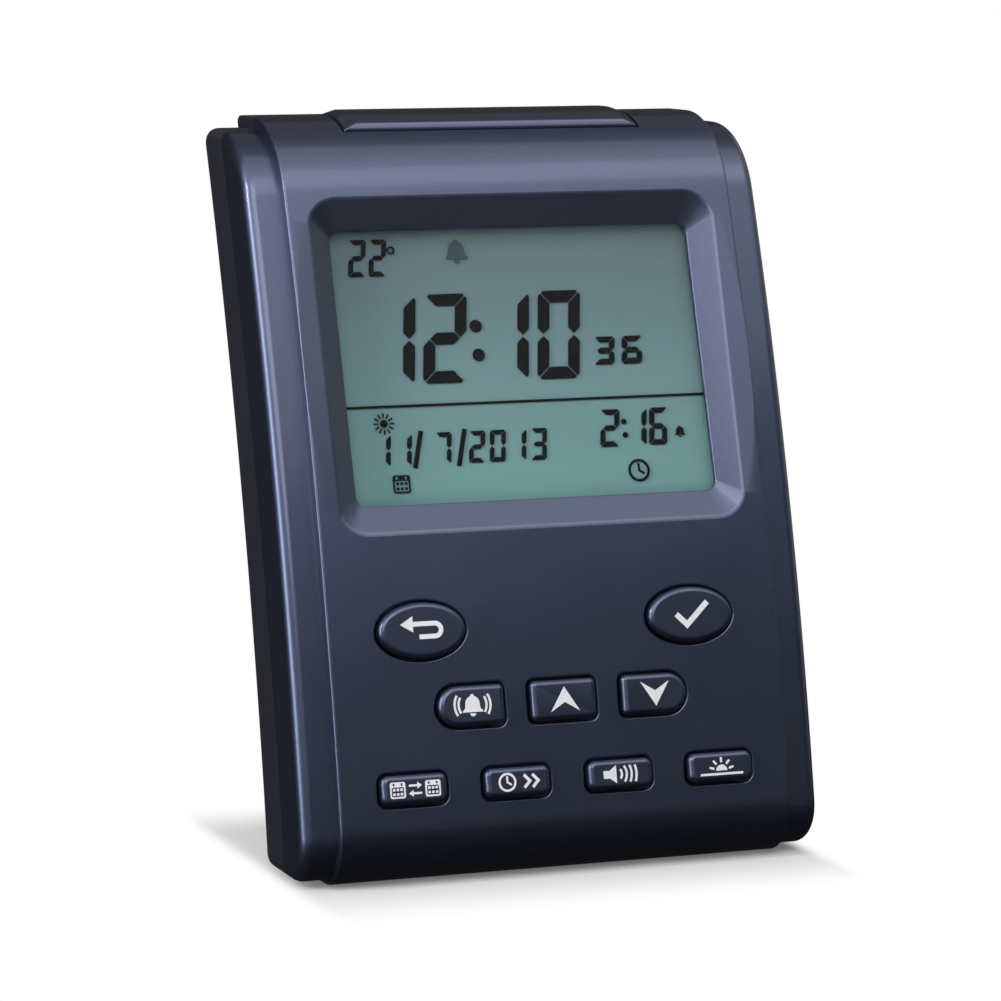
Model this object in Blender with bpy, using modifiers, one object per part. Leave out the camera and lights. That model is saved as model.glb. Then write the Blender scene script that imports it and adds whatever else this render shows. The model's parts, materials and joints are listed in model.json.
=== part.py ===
"""Table azan clock: a leaning plastic case with a liquid crystal display, nine keys, a push bar across
the top, a battery bay behind and a folding stand leg. Metres, +Z up. The front faces -Y and the table
is z = 0. The side of the case is drawn with y = 0 where the face would meet the table; one empty then
moves the whole clock so that the origin lies under the middle of its footprint."""
import math

import bmesh
import bpy
from mathutils import Matrix, Vector

MM = 0.001

# Clearances
SEAT = 0.3 * MM
RUNNING = 0.4 * MM
CELL_PLAY = 0.4 * MM
OVERRUN = 4.0 * MM

# Case: outer sizes and the leaning arc of its face
CASE_WIDTH = 100.0 * MM
CASE_HEIGHT = 135.0 * MM
CASE_DEPTH = 25.3 * MM
SEAM_DEPTH = 13.3 * MM
SEAM_REACH = 30.0 * MM
FACE_RADIUS = 620.0 * MM
FACE_BASE_LEAN = math.radians(9.0)
TOP_SHOULDER = 20.0 * MM
BOTTOM_SHOULDER = 10.0 * MM
BACK_EDGE = 2.5 * MM
WALL = 2.2 * MM
INNER_CORNER = 0.6 * MM

# Raised band up the middle of the case, and the rails beside it
RAIL_WIDTH = 6.6 * MM
BAND_WIDTH = CASE_WIDTH - 2 * RAIL_WIDTH
BAND_STEP = 2.2 * MM
FOOT_STEP = 1.0 * MM
BAND_BACK_STEP = 1.5 * MM
BAND_EDGE = 0.5 * MM
RAIL_EDGE = 2.2 * MM

# Display window: a sloped recess that narrows to the viewing edge
DISPLAY_Z = 91.5 * MM
DISPLAY_EXTRA_LEAN = math.radians(0.3)
RECESS_WIDTH = 80.4 * MM
RECESS_HEIGHT = 64.9 * MM
RECESS_CORNER = 6.2 * MM
VIEW_WIDTH = 69.8 * MM
VIEW_HEIGHT = 50.6 * MM
VIEW_CORNER = 2.0 * MM
VIEW_RISE = 0.4 * MM
RECESS_DEPTH = 3.3 * MM
FUNNEL_LENGTH = 0.8 * MM
FUNNEL_WALL = 1.8 * MM
FUNNEL_ROOT = 2.0 * MM

# Display stack, from the lens inwards
LENS_THICKNESS = 1.0 * MM
LENS_LAP = 1.4 * MM
GLASS_THICKNESS = 1.1 * MM
GLASS_LAP = 2.6 * MM
GLASS_LEDGE = 3.0 * MM
BACKLIGHT_THICKNESS = 2.0 * MM
FRAME_FLOOR = 1.4 * MM
FRAME_WALL = 1.3 * MM
FRAME_RIM = 9.0 * MM
FRAME_EAR_REACH = 4.3 * MM
FRAME_EAR_V = 22.0 * MM
FRAME_EAR_RADIUS = 3.0 * MM

# Keys: openings on the key panel, placed by height on the table
KEY_PANEL_Z = 32.0 * MM
KEY_RISE = 1.35 * MM
KEY_EDGE = 1.0 * MM
KEY_TRAVEL = 0.8 * MM
KEY_FLANGE = 0.8 * MM
KEY_FLANGE_THICKNESS = 0.6 * MM
OVAL_SIZE = (17.2 * MM, 10.8 * MM)
OVAL_X = 25.9 * MM
OVAL_Z = 45.3 * MM
ARROW_SIZE = (13.7 * MM, 8.6 * MM)
ARROW_X = 17.7 * MM
ARROW_Z = 31.7 * MM
ARROW_CORNER = 1.5 * MM
SMALL_SIZE = (13.6 * MM, 6.3 * MM)
SMALL_INNER_X = 9.9 * MM
SMALL_OUTER_X = 29.5 * MM
SMALL_Z = 17.9 * MM
SMALL_CORNER = 1.9 * MM
RIM_CHAMFER = 0.45 * MM

# Keypad rubber and the main board behind it
DOME_RADIUS = 2.9 * MM
DOME_TOP_RADIUS = 2.0 * MM
DOME_WALL = 0.7 * MM
DOME_REST_HEIGHT = 0.5 * MM
MEMBRANE_THICKNESS = 0.9 * MM
MEMBRANE_MARGIN = 1.2 * MM
MEMBRANE_SIDE = 0.7 * MM
MEMBRANE_WIDTH = 2 * (SMALL_OUTER_X + MEMBRANE_SIDE) + SMALL_SIZE[0]
BOARD_THICKNESS = 1.6 * MM
BOARD_SIDE_ROOM = 7.5 * MM
BOARD_WIDTH = CASE_WIDTH - 2 * BOARD_SIDE_ROOM
BOARD_BOTTOM_V = -16.5 * MM
BOARD_DISPLAY_GAP = 5.3 * MM
BOARD_BOSS_SIDE = 2.5 * MM
BOARD_BOSS_RISE = 4.0 * MM
BOARD_BOSS_DROP = 5.0 * MM
BOARD_BOSS_RADIUS = 2.0 * MM

# Small self-tapping screws of the boards and of the display frame
TAPPER_RADIUS = 0.9 * MM
TAPPER_HEAD_RADIUS = 1.9 * MM
TAPPER_HEAD = 1.1 * MM
TAPPER_BITE = 3.4 * MM

# Case screws, driven from behind into posts
CASE_SCREW_SIDE = 9.0 * MM
CASE_SCREW_DROP = 13.0 * MM
CASE_SCREW_RISE = 8.0 * MM
CASE_SCREW_X = CASE_WIDTH / 2 - CASE_SCREW_SIDE
CASE_SCREW_Z = (CASE_SCREW_RISE, CASE_HEIGHT - CASE_SCREW_DROP)
CASE_SCREW_RADIUS = 1.3 * MM
CASE_SCREW_HEAD_RADIUS = 2.6 * MM
CASE_SCREW_HEAD = 1.8 * MM
CASE_SCREW_BITE = 6.4 * MM
POST_RADIUS = 3.6 * MM
POST_FLOOR = 2.4 * MM

# Push bar across the top, placed before and behind the centre of the top shoulder
BAR_WIDTH = 57.6 * MM
BAR_END_SLOPE = 2.4 * MM
BAR_RISE = 1.0 * MM
BAR_LIP = 0.1 * MM
BAR_FORWARD = 9.4 * MM
BAR_BACKWARD = 4.4 * MM
BAR_DEPTH = 6.5 * MM
BAR_SKIRT_Z = CASE_HEIGHT - BAR_DEPTH
BAR_WALL = 1.8 * MM
BAR_TRAVEL = 0.8 * MM
BAR_TAB_WIDTH = 2.0 * MM
BAR_TAB_HEIGHT = 1.3 * MM
BAR_TAB_LENGTH = 2.8 * MM
BAR_RIB_DEPTH = 7.8 * MM
BAR_RIB_Z = CASE_HEIGHT - BAR_RIB_DEPTH
BAR_RIB_SIZE = 4.0 * MM

# Push switch under the bar
SNOOZE_BOARD_SIZE = (28.0 * MM, 1.6 * MM, 14.0 * MM)
SNOOZE_BOARD_SET_IN = 4.7 * MM
SNOOZE_BOARD_DROP = 25.0 * MM
SNOOZE_BOARD_Z = CASE_HEIGHT - SNOOZE_BOARD_DROP
SNOOZE_BOSS_X = 10.0 * MM
SNOOZE_BOSS_RISE = 4.0 * MM
SNOOZE_BOSS_Z = SNOOZE_BOARD_Z + SNOOZE_BOSS_RISE
SNOOZE_BOSS_RADIUS = 2.2 * MM
SWITCH_SIZE = (7.0 * MM, 5.0 * MM, 5.0 * MM)
SWITCH_DROP = 10.5 * MM
SWITCH_TOP_Z = CASE_HEIGHT - SWITCH_DROP
PLUNGER_RADIUS = 1.5 * MM
PLUNGER_DEPTH = 3.0 * MM

# Speaker on the rear cover
SPEAKER_Z = 88.0 * MM
SPEAKER_RADIUS = 18.0 * MM
SPEAKER_FLANGE = 1.0 * MM
SPEAKER_CUP_RADIUS = 12.5 * MM
SPEAKER_CUP_DEPTH = 3.2 * MM
SPEAKER_METAL = 0.6 * MM
MAGNET_RADIUS = 8.5 * MM
MAGNET_THICKNESS = 2.8 * MM
MAGNET_EDGE = 0.4 * MM
CUP_HOLE_RADIUS = 3.4 * MM
CONE_CAP_RADIUS = 4.2 * MM
CONE_THICKNESS = 0.4 * MM
SPEAKER_RING_WALL = 1.4 * MM
SPEAKER_RING_HEIGHT = 2.6 * MM
GRILLE_RADIUS = 14.5 * MM
GRILLE_SLOT = 1.8 * MM
GRILLE_PITCH = 3.6 * MM
GRILLE_SLOTS = 7
GRILLE_CORNER = 0.8 * MM

# Battery bay, two slim cells one above the other
CELL_RADIUS = 5.25 * MM
CELL_LENGTH = 43.6 * MM
CELL_NUB_RADIUS = 1.9 * MM
CELL_NUB_LENGTH = 0.9 * MM
CELL_EDGE = 0.5 * MM
BAY_END_ROOM = 2.3 * MM
BAY_V = -4.0 * MM
BAY_WALL = 1.2 * MM
DOOR_THICKNESS = 1.5 * MM
DOOR_LAP = 2.4 * MM
DOOR_CORNER = 2.0 * MM
DOOR_LEDGE = 1.2 * MM
DOOR_HOOK_WIDTH = 5.0 * MM
DOOR_HOOK_X = 15.0 * MM
DOOR_HOOK_LENGTH = 1.3 * MM
DOOR_HOOK_THICKNESS = 0.6 * MM
DOOR_GROOVES = 4
DOOR_GROOVE_PITCH = 1.4 * MM
DOOR_LATCH_WIDTH = 9.0 * MM
CONTACT_THICKNESS = 0.4 * MM
CONTACT_HEIGHT = 7.5 * MM
CONTACT_WIDTH = 7.0 * MM

# Folding stand leg: two arms, a cross bar and stub pins
LEG_PIVOT_Z = 62.0 * MM
LEG_PIVOT_SINK = 2.1 * MM
LEG_LENGTH = 63.0 * MM
LEG_INNER = 60.0 * MM
LEG_ARM_WIDTH = 6.0 * MM
LEG_THICKNESS = 3.2 * MM
LEG_FOOT_HEIGHT = 7.0 * MM
LEG_HEEL = 4.0 * MM
LEG_EDGE = 0.8 * MM
PIN_RADIUS = 1.3 * MM
PIN_LENGTH = 1.6 * MM
PIN_PLAY = 0.3 * MM
CHANNEL_FLOOR = 1.6 * MM
CHANNEL_PLAY = 0.5 * MM

# Foil and wires that join the display, the cells, the speaker and the switch to the main board
FLEX_WIDTH = 40.0 * MM
FLEX_THICKNESS = 0.2 * MM
FLEX_LAP = 2.0 * MM
WIRE_RADIUS = 0.5 * MM
WIRE_LIFT = 1.6 * MM
WIRE_BEND = 1.0 * MM
WIRE_SIDES = 6
BAY_WIRE_INSET = 1.3 * MM
BAY_WIRE_HOLE = 1.1 * MM
BAY_WIRE_DROP = 12.5 * MM
BAY_WIRE_X = (-14.0 * MM, -19.0 * MM)
SPEAKER_WIRE_X = (3.5 * MM, 7.0 * MM)
SPEAKER_WIRE_V = -15.3 * MM
SWITCH_WIRE_X = (-12.8 * MM, -10.8 * MM)
SWITCH_WIRE_DROP_X = (-18.5 * MM, -16.0 * MM)
SWITCH_WIRE_SLOPE = 10.0 * MM
SWITCH_WIRE_DEPTH = 16.2 * MM
BOARD_WIRE_DROP = 2.5 * MM
BOARD_WIRE_LIFT = 3.0 * MM

# Facets along the long arc and round the corners
ARC_STEPS = 14
SHOULDER_STEPS = 8
EDGE_STEPS = 3
ROUND_STEPS = 20

# Centre of the arc of the face
ARC_Y = FACE_RADIUS * math.cos(FACE_BASE_LEAN)
ARC_Z = -FACE_RADIUS * math.sin(FACE_BASE_LEAN)


def lean_at(z):
    """How far the face leans back at a height."""
    return math.asin((z - ARC_Z) / FACE_RADIUS)


def face_y(z, depth=0.0):
    """Where a surface that lies level behind the face stands at a height."""
    return ARC_Y - FACE_RADIUS * math.cos(lean_at(z)) + depth


def shoulder_y(radius, z):
    """Where the centre of a rounding lies that meets the face's arc from inside the case."""
    return ARC_Y - math.sqrt((FACE_RADIUS - radius) ** 2 - (z - ARC_Z) ** 2)


def rear_edge_y(radius, z, inset=0.0):
    """Where the centre of a rounding lies that meets the back surface from inside the case."""
    return ARC_Y + CASE_DEPTH - math.sqrt((FACE_RADIUS + inset + radius) ** 2 - (z - ARC_Z) ** 2)


def resting_lean(height, length, half_thickness, edge):
    """Lean of the open leg when the rounded corner of its foot just meets the table."""
    along = length - edge
    across = half_thickness - edge
    return math.atan2(across, along) + math.acos((height - edge) / math.hypot(along, across))


SHOULDER_CENTRE = (shoulder_y(TOP_SHOULDER, CASE_HEIGHT - TOP_SHOULDER), CASE_HEIGHT - TOP_SHOULDER)
BAR_FRONT_Y = SHOULDER_CENTRE[0] - BAR_FORWARD
BAR_BACK_Y = SHOULDER_CENTRE[0] + BAR_BACKWARD
SNOOZE_BOARD_BACK_Y = BAR_BACK_Y - SNOOZE_BOARD_SET_IN
LEG_PIVOT_Y = face_y(LEG_PIVOT_Z, CASE_DEPTH) - LEG_PIVOT_SINK
LEG_REST = resting_lean(LEG_PIVOT_Z, LEG_LENGTH, LEG_THICKNESS / 2, LEG_EDGE)
KEY_LEAN = lean_at(KEY_PANEL_Z)


def key_v(z):
    """Distance up the key panel of a height on the table."""
    return (z - KEY_PANEL_Z) / math.cos(KEY_LEAN)


# The round edge of a key passes this far inside its corner. The clock is deepest between the lower
# edge of the bottom keys and the top of its back
KEY_ROUND = KEY_EDGE * (1 - math.sqrt(0.5))
LOWEST_KEY_V = key_v(SMALL_Z) - SMALL_SIZE[1] / 2 + RUNNING + KEY_EDGE
FRONT_Y = face_y(KEY_PANEL_Z) + LOWEST_KEY_V * math.sin(KEY_LEAN) - KEY_RISE * math.cos(KEY_LEAN)
BACK_Y = rear_edge_y(BACK_EDGE, CASE_HEIGHT - BAND_STEP - BACK_EDGE) + BACK_EDGE
MIDDLE_Y = (FRONT_Y + BACK_Y) / 2

for old in list(bpy.data.objects):
    bpy.data.objects.remove(old, do_unlink=True)

parts = bpy.data.collections.new("azan_clock")
cutters = bpy.data.collections.new("cutters")
bpy.context.scene.collection.children.link(parts)
bpy.context.scene.collection.children.link(cutters)

clock_root = bpy.data.objects.new("clock_root", None)
clock_root.location = (0, -MIDDLE_Y, 0)
parts.objects.link(clock_root)


def material(name, colour, roughness, metallic=0.0):
    found = bpy.data.materials.new(name)
    found.use_nodes = True
    shader = found.node_tree.nodes["Principled BSDF"]
    shader.inputs["Base Color"].default_value = (*colour, 1.0)
    shader.inputs["Roughness"].default_value = roughness
    shader.inputs["Metallic"].default_value = metallic
    return found


LACQUER = material("blue_lacquer", (0.045, 0.052, 0.095), 0.32, 0.35)
REAR_PLASTIC = material("rear_plastic", (0.022, 0.026, 0.042), 0.5)
KEY_PLASTIC = material("key_plastic", (0.018, 0.022, 0.045), 0.38)
CLEAR_PLASTIC = material("clear_plastic", (0.8, 0.9, 0.9), 0.05)
DISPLAY_GLASS = material("display_glass", (0.16, 0.26, 0.25), 0.12)
REAR_GLASS = material("rear_glass", (0.14, 0.24, 0.24), 0.2)
WHITE_PLASTIC = material("white_plastic", (0.75, 0.76, 0.74), 0.5)
RUBBER = material("grey_rubber", (0.3, 0.31, 0.33), 0.8)
BOARD_GREEN = material("board_green", (0.03, 0.16, 0.07), 0.45)
EPOXY = material("black_epoxy", (0.012, 0.012, 0.014), 0.4)
STEEL = material("plated_steel", (0.62, 0.62, 0.6), 0.3, 1.0)
NICKEL = material("nickel", (0.68, 0.66, 0.6), 0.25, 1.0)
CONE_PAPER = material("cone_paper", (0.03, 0.03, 0.032), 0.9)
FERRITE = material("ferrite", (0.06, 0.06, 0.065), 0.6)
CELL_JACKET = material("cell_jacket", (0.22, 0.24, 0.27), 0.4)
CAPACITOR_SLEEVE = material("capacitor_sleeve", (0.02, 0.03, 0.09), 0.35)
FOIL = material("amber_foil", (0.45, 0.24, 0.06), 0.35)
RED_WIRE = material("wire_red", (0.5, 0.03, 0.03), 0.4)
BLACK_WIRE = material("wire_black", (0.02, 0.02, 0.02), 0.4)


def tilted(y, z, lean, x=0.0):
    """Frame on a leaning surface: X right, Y up along it, Z out of it."""
    return Matrix.Translation((x, y, z)) @ Matrix.Rotation(math.pi / 2 - lean, 4, "X")


DISPLAY_LEAN = lean_at(DISPLAY_Z) + DISPLAY_EXTRA_LEAN
DISPLAY = tilted(face_y(DISPLAY_Z), DISPLAY_Z, DISPLAY_LEAN)
KEYS = tilted(face_y(KEY_PANEL_Z), KEY_PANEL_Z, KEY_LEAN)
SPEAKER = tilted(face_y(SPEAKER_Z, CASE_DEPTH), SPEAKER_Z, lean_at(SPEAKER_Z))
CASE_SLOPE = lean_at(CASE_HEIGHT / 2)
SIDEWAYS = Matrix(((0, 0, 1, 0), (1, 0, 0, 0), (0, 1, 0, 0), (0, 0, 0, 1)))


def place(obj, name, finish, matrix=None, owner=parts):
    """Name, finish and parent an object, with its place given in the frame of the case."""
    obj.name = name
    obj.data.name = name
    obj.data.materials.clear()
    if finish:
        obj.data.materials.append(finish)
    for collection in list(obj.users_collection):
        collection.objects.unlink(obj)
    owner.objects.link(obj)
    obj.parent = clock_root
    if matrix is not None:
        obj.matrix_local = matrix
    if owner is cutters:
        obj.display_type = "WIRE"
        obj.hide_render = True
    return obj


def smooth(obj, degrees=35.0):
    obj.data.shade_smooth()
    obj.data.set_sharp_from_angle(angle=math.radians(degrees))
    return obj


def mesh_object(bm):
    bmesh.ops.recalc_face_normals(bm, faces=bm.faces)
    mesh = bpy.data.meshes.new("shape")
    bm.to_mesh(mesh)
    bm.free()
    obj = bpy.data.objects.new("shape", mesh)
    bpy.context.scene.collection.objects.link(obj)
    return obj


def plate(outline, low, high):
    """A flat outline as a filled 2D curve, made a clean mesh between two levels."""
    curve = bpy.data.curves.new("outline", "CURVE")
    curve.dimensions = "2D"
    curve.fill_mode = "BOTH"
    curve.extrude = (high - low) / 2
    spline = curve.splines.new("POLY")
    spline.points.add(len(outline) - 1)
    for point, (x, y) in zip(spline.points, outline):
        point.co = (x, y, 0, 1)
    spline.use_cyclic_u = True
    guide = bpy.data.objects.new("outline", curve)
    bpy.context.scene.collection.objects.link(guide)
    evaluated = guide.evaluated_get(bpy.context.evaluated_depsgraph_get())
    mesh = bpy.data.meshes.new_from_object(evaluated)
    bpy.data.objects.remove(guide, do_unlink=True)
    bm = bmesh.new()
    bm.from_mesh(mesh)
    bpy.data.meshes.remove(mesh)
    bmesh.ops.remove_doubles(bm, verts=bm.verts, dist=0.00001)
    bmesh.ops.dissolve_limit(bm, angle_limit=math.radians(0.05), verts=bm.verts, edges=bm.edges)
    bmesh.ops.translate(bm, verts=bm.verts, vec=(0, 0, (high + low) / 2))
    return mesh_object(bm)


def loft(sections):
    """A skin over sections of equal point counts, each a list of points in space."""
    bm = bmesh.new()
    rings = [[bm.verts.new(point) for point in section] for section in sections]
    count = len(rings[0])
    for lower, upper in zip(rings, rings[1:]):
        for i in range(count):
            j = (i + 1) % count
            bm.faces.new((lower[i], lower[j], upper[j], upper[i]))
    bm.faces.new(rings[0])
    bm.faces.new(rings[-1])
    return mesh_object(bm)


def box(low, high):
    bm = bmesh.new()
    bmesh.ops.create_cube(bm, size=1.0)
    size = Vector(high) - Vector(low)
    bmesh.ops.scale(bm, vec=size, verts=bm.verts)
    bmesh.ops.translate(bm, vec=(Vector(high) + Vector(low)) / 2, verts=bm.verts)
    return mesh_object(bm)


def cones(stations, radius_low, radius_high, low, high, segments=ROUND_STEPS):
    """One mesh of cones or cylinders that stand on Z at several stations."""
    bm = bmesh.new()
    for x, y in stations:
        made = bmesh.ops.create_cone(bm, cap_ends=True, segments=segments, radius1=radius_low,
                                     radius2=radius_high, depth=high - low)
        bmesh.ops.translate(bm, vec=(x, y, (low + high) / 2), verts=made["verts"])
    return mesh_object(bm)


def cylinder(radius, low, high, segments=ROUND_STEPS):
    return cones([(0, 0)], radius, radius, low, high, segments)


def screw_holes(stations, low, high):
    """Clear holes for the small screws."""
    return cones(stations, TAPPER_RADIUS + SEAT, TAPPER_RADIUS + SEAT, low, high, 8)


def turned(profile, segments=ROUND_STEPS):
    """A closed profile of (radius, height) points turned about Z, run down its outer side."""
    mesh = bpy.data.meshes.new("profile")
    count = len(profile)
    pairs = zip(profile, profile[1:] + profile[:1])
    if sum(r0 * z1 - r1 * z0 for (r0, z0), (r1, z1) in pairs) > 0:
        profile = profile[::-1]
    mesh.from_pydata([(r, 0, z) for r, z in profile], [(i, (i + 1) % count) for i in range(count)], [])
    obj = bpy.data.objects.new("profile", mesh)
    bpy.context.scene.collection.objects.link(obj)
    screw = obj.modifiers.new("turn", "SCREW")
    screw.steps = segments
    screw.render_steps = segments
    screw.use_merge_vertices = True
    screw.merge_threshold = 0.00001
    return obj


def change(target, tool, operation, tool_matrix=None):
    """Cut, join or trim with another shape, which stays as a guide."""
    place(tool, target.name + "_" + operation.lower(), None, tool_matrix, cutters)
    modifier = target.modifiers.new(operation.lower(), "BOOLEAN")
    modifier.operation = operation
    modifier.solver = "EXACT"
    modifier.object = tool
    return target


def bevel(obj, width, segments=2, degrees=40.0):
    modifier = obj.modifiers.new("edge", "BEVEL")
    modifier.width = width
    modifier.segments = segments
    modifier.limit_method = "ANGLE"
    modifier.angle_limit = math.radians(degrees)
    return obj


def spread(count, start, end):
    return [start + (end - start) * i / (count - 1) for i in range(count)]


def arc(centre, radius, start, end, steps):
    """Points round a centre; angle 0 points forwards and a quarter turn points up."""
    cy, cz = centre
    return [(cy - radius * math.cos(t), cz + radius * math.sin(t)) for t in spread(steps + 1, start, end)]


def rounded_rectangle(width, height, radius, corner_steps=3):
    corners = [(1, 1, 0), (-1, 1, 90), (-1, -1, 180), (1, -1, 270)]
    points = []
    for sx, sy, start in corners:
        cx = sx * (width / 2 - radius)
        cy = sy * (height / 2 - radius)
        for t in spread(corner_steps + 1, math.radians(start), math.radians(start + 90)):
            points.append((cx + radius * math.cos(t), cy + radius * math.sin(t)))
    return points


def ellipse(width, height, steps=24):
    turns = [2 * math.pi * i / steps for i in range(steps)]
    return [(width / 2 * math.cos(t), height / 2 * math.sin(t)) for t in turns]


def one_round_end(width, height, radius, side):
    """A key outline whose end on one side is a half circle and whose other corners are small."""
    round_end = height / 2
    points = []
    for t in spread(8, -math.pi / 2, math.pi / 2):
        points.append((width / 2 - round_end + round_end * math.cos(t), round_end * math.sin(t)))
    for sy, start in ((1, 90), (-1, 180)):
        cx = -width / 2 + radius
        cy = sy * (height / 2 - radius)
        for t in spread(4, math.radians(start), math.radians(start + 90)):
            points.append((cx + radius * math.cos(t), cy + radius * math.sin(t)))
    return [(side * x, y) for x, y in points][::side]


def shifted(outline, dx, dy):
    return [(x + dx, y + dy) for x, y in outline]


def at_level(outline, z):
    return [(x, y, z) for x, y in outline]


def slab_outline(front, top, foot, back):
    """The case seen from its side, each surface drawn in by its own distance."""
    front_radius = FACE_RADIUS - front
    top_z = CASE_HEIGHT - top
    upper = TOP_SHOULDER - front
    lower = BOTTOM_SHOULDER - front
    edge = max(BACK_EDGE - back, INNER_CORNER)
    back_radius = FACE_RADIUS + back

    def leaning(z, reach):
        return math.asin((z - ARC_Z) / reach)

    upper_lean = leaning(top_z - upper, front_radius - upper)
    lower_lean = leaning(foot + lower, front_radius - lower)
    upper_centre = (shoulder_y(front + upper, top_z - upper), top_z - upper)
    lower_centre = (shoulder_y(front + lower, foot + lower), foot + lower)
    upper_back = leaning(top_z - edge, back_radius + edge)
    lower_back = leaning(foot + edge, back_radius + edge)
    back_y = ARC_Y + CASE_DEPTH
    upper_back_centre = (rear_edge_y(edge, top_z - edge, back), top_z - edge)
    lower_back_centre = (rear_edge_y(edge, foot + edge, back), foot + edge)
    outline = arc(lower_centre, lower, -math.pi / 2, lower_lean, SHOULDER_STEPS)
    outline += arc((ARC_Y, ARC_Z), front_radius, lower_lean, upper_lean, ARC_STEPS)[1:-1]
    outline += arc(upper_centre, upper, upper_lean, math.pi / 2, SHOULDER_STEPS)
    outline += arc(upper_back_centre, edge, math.pi / 2, math.pi + upper_back, EDGE_STEPS)
    outline += arc((back_y, ARC_Z), back_radius, upper_back, lower_back, ARC_STEPS)[1:-1]
    outline += arc(lower_back_centre, edge, math.pi + lower_back, 3 * math.pi / 2, EDGE_STEPS)
    return outline


def side_prism(outline, half_width):
    """An outline of the side, given as (y, z), run across the case."""
    return plate(outline, -half_width, half_width)


def seam_side(depth, far_y):
    """All that lies on one side of the seam."""
    heights = spread(ARC_STEPS + 1, -SEAM_REACH, CASE_HEIGHT + SEAM_REACH)
    outline = [(face_y(z, depth), z) for z in heights]
    outline += [(far_y, heights[-1]), (far_y, heights[0])]
    return side_prism(outline, CASE_WIDTH)


def hollow_case():
    """The whole closed case, hollow, before the seam parts it."""
    rails = side_prism(slab_outline(BAND_STEP, BAND_STEP, FOOT_STEP, 0.0), CASE_WIDTH / 2)
    bevel(rails, RAIL_EDGE, EDGE_STEPS)
    band = side_prism(slab_outline(0.0, 0.0, 0.0, BAND_BACK_STEP), BAND_WIDTH / 2)
    bevel(band, BAND_EDGE, 1)
    wide = side_prism(slab_outline(BAND_STEP + WALL, BAND_STEP + WALL, FOOT_STEP + WALL, WALL),
                      CASE_WIDTH / 2 - WALL)
    narrow = side_prism(slab_outline(WALL, WALL, WALL, WALL + BAND_BACK_STEP), BAND_WIDTH / 2 - WALL)
    return rails, band, wide, narrow


def start_shell(name, finish, depth, far_y):
    rails, band, wide, narrow = hollow_case()
    shell = place(rails, name, finish, SIDEWAYS)
    change(shell, band, "UNION", SIDEWAYS)
    change(shell, wide, "DIFFERENCE", SIDEWAYS)
    change(shell, narrow, "DIFFERENCE", SIDEWAYS)
    change(shell, seam_side(depth, far_y), "INTERSECT", SIDEWAYS)
    return shell


# Window and display levels, measured out of the display's own plane
VIEW_LEVEL = -RECESS_DEPTH
FUNNEL_LEVEL = VIEW_LEVEL - FUNNEL_LENGTH
LENS_FRONT = FUNNEL_LEVEL - SEAT
LENS_BACK = LENS_FRONT - LENS_THICKNESS
GLASS_FRONT = LENS_BACK - SEAT
GLASS_MIDDLE = GLASS_FRONT - GLASS_THICKNESS
REAR_GLASS_FRONT = GLASS_MIDDLE - SEAT
REAR_GLASS_BACK = REAR_GLASS_FRONT - GLASS_THICKNESS
BACKLIGHT_FRONT = REAR_GLASS_BACK - SEAT
BACKLIGHT_BACK = BACKLIGHT_FRONT - BACKLIGHT_THICKNESS
FRAME_FRONT = BACKLIGHT_BACK - SEAT
FRAME_BACK = FRAME_FRONT - FRAME_FLOOR
STACK_WIDTH = VIEW_WIDTH + 2 * GLASS_LAP
STACK_HEIGHT = VIEW_HEIGHT + 2 * GLASS_LAP
FRAME_EAR_X = STACK_WIDTH / 2 + FRAME_WALL + SEAT + FRAME_EAR_REACH
EAR_STATIONS = [(sx * FRAME_EAR_X, sv * FRAME_EAR_V + VIEW_RISE) for sx in (-1, 1) for sv in (-1, 1)]

# Key levels, measured out of the key panel
WALL_BACK = -WALL
FLANGE_TOP = WALL_BACK - 2 * SEAT
FLANGE_BOTTOM = FLANGE_TOP - KEY_FLANGE_THICKNESS
DOME_TOP = FLANGE_BOTTOM - SEAT
MEMBRANE_TOP = DOME_TOP - KEY_TRAVEL - DOME_REST_HEIGHT
MEMBRANE_BOTTOM = MEMBRANE_TOP - MEMBRANE_THICKNESS
BOARD_FRONT = MEMBRANE_BOTTOM - SEAT
BOARD_BACK = BOARD_FRONT - BOARD_THICKNESS
LEDGE_V = VIEW_RISE - STACK_HEIGHT / 2 - GLASS_LEDGE
LEDGE_FOOT = KEYS.inverted() @ DISPLAY @ Vector((0, LEDGE_V, REAR_GLASS_BACK))
BOARD_TOP_V = LEDGE_FOOT.y - BOARD_DISPLAY_GAP
BOARD_BOSS_X = BOARD_WIDTH / 2 - BOARD_BOSS_SIDE
BOARD_BOSS_VS = (BOARD_BOTTOM_V + BOARD_BOSS_RISE, BOARD_TOP_V - BOARD_BOSS_DROP)
BOARD_BOSSES = [(sx * BOARD_BOSS_X, v) for sx in (-1, 1) for v in BOARD_BOSS_VS]


def oval(grow):
    return ellipse(OVAL_SIZE[0] + 2 * grow, OVAL_SIZE[1] + 2 * grow)


def left_arrow(grow):
    return one_round_end(ARROW_SIZE[0] + 2 * grow, ARROW_SIZE[1] + 2 * grow, ARROW_CORNER + grow, -1)


def middle_arrow(grow):
    return rounded_rectangle(ARROW_SIZE[0] + 2 * grow, ARROW_SIZE[1] + 2 * grow, ARROW_CORNER + grow)


def right_arrow(grow):
    return one_round_end(ARROW_SIZE[0] + 2 * grow, ARROW_SIZE[1] + 2 * grow, ARROW_CORNER + grow, 1)


def small(grow):
    return rounded_rectangle(SMALL_SIZE[0] + 2 * grow, SMALL_SIZE[1] + 2 * grow, SMALL_CORNER + grow)


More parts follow.
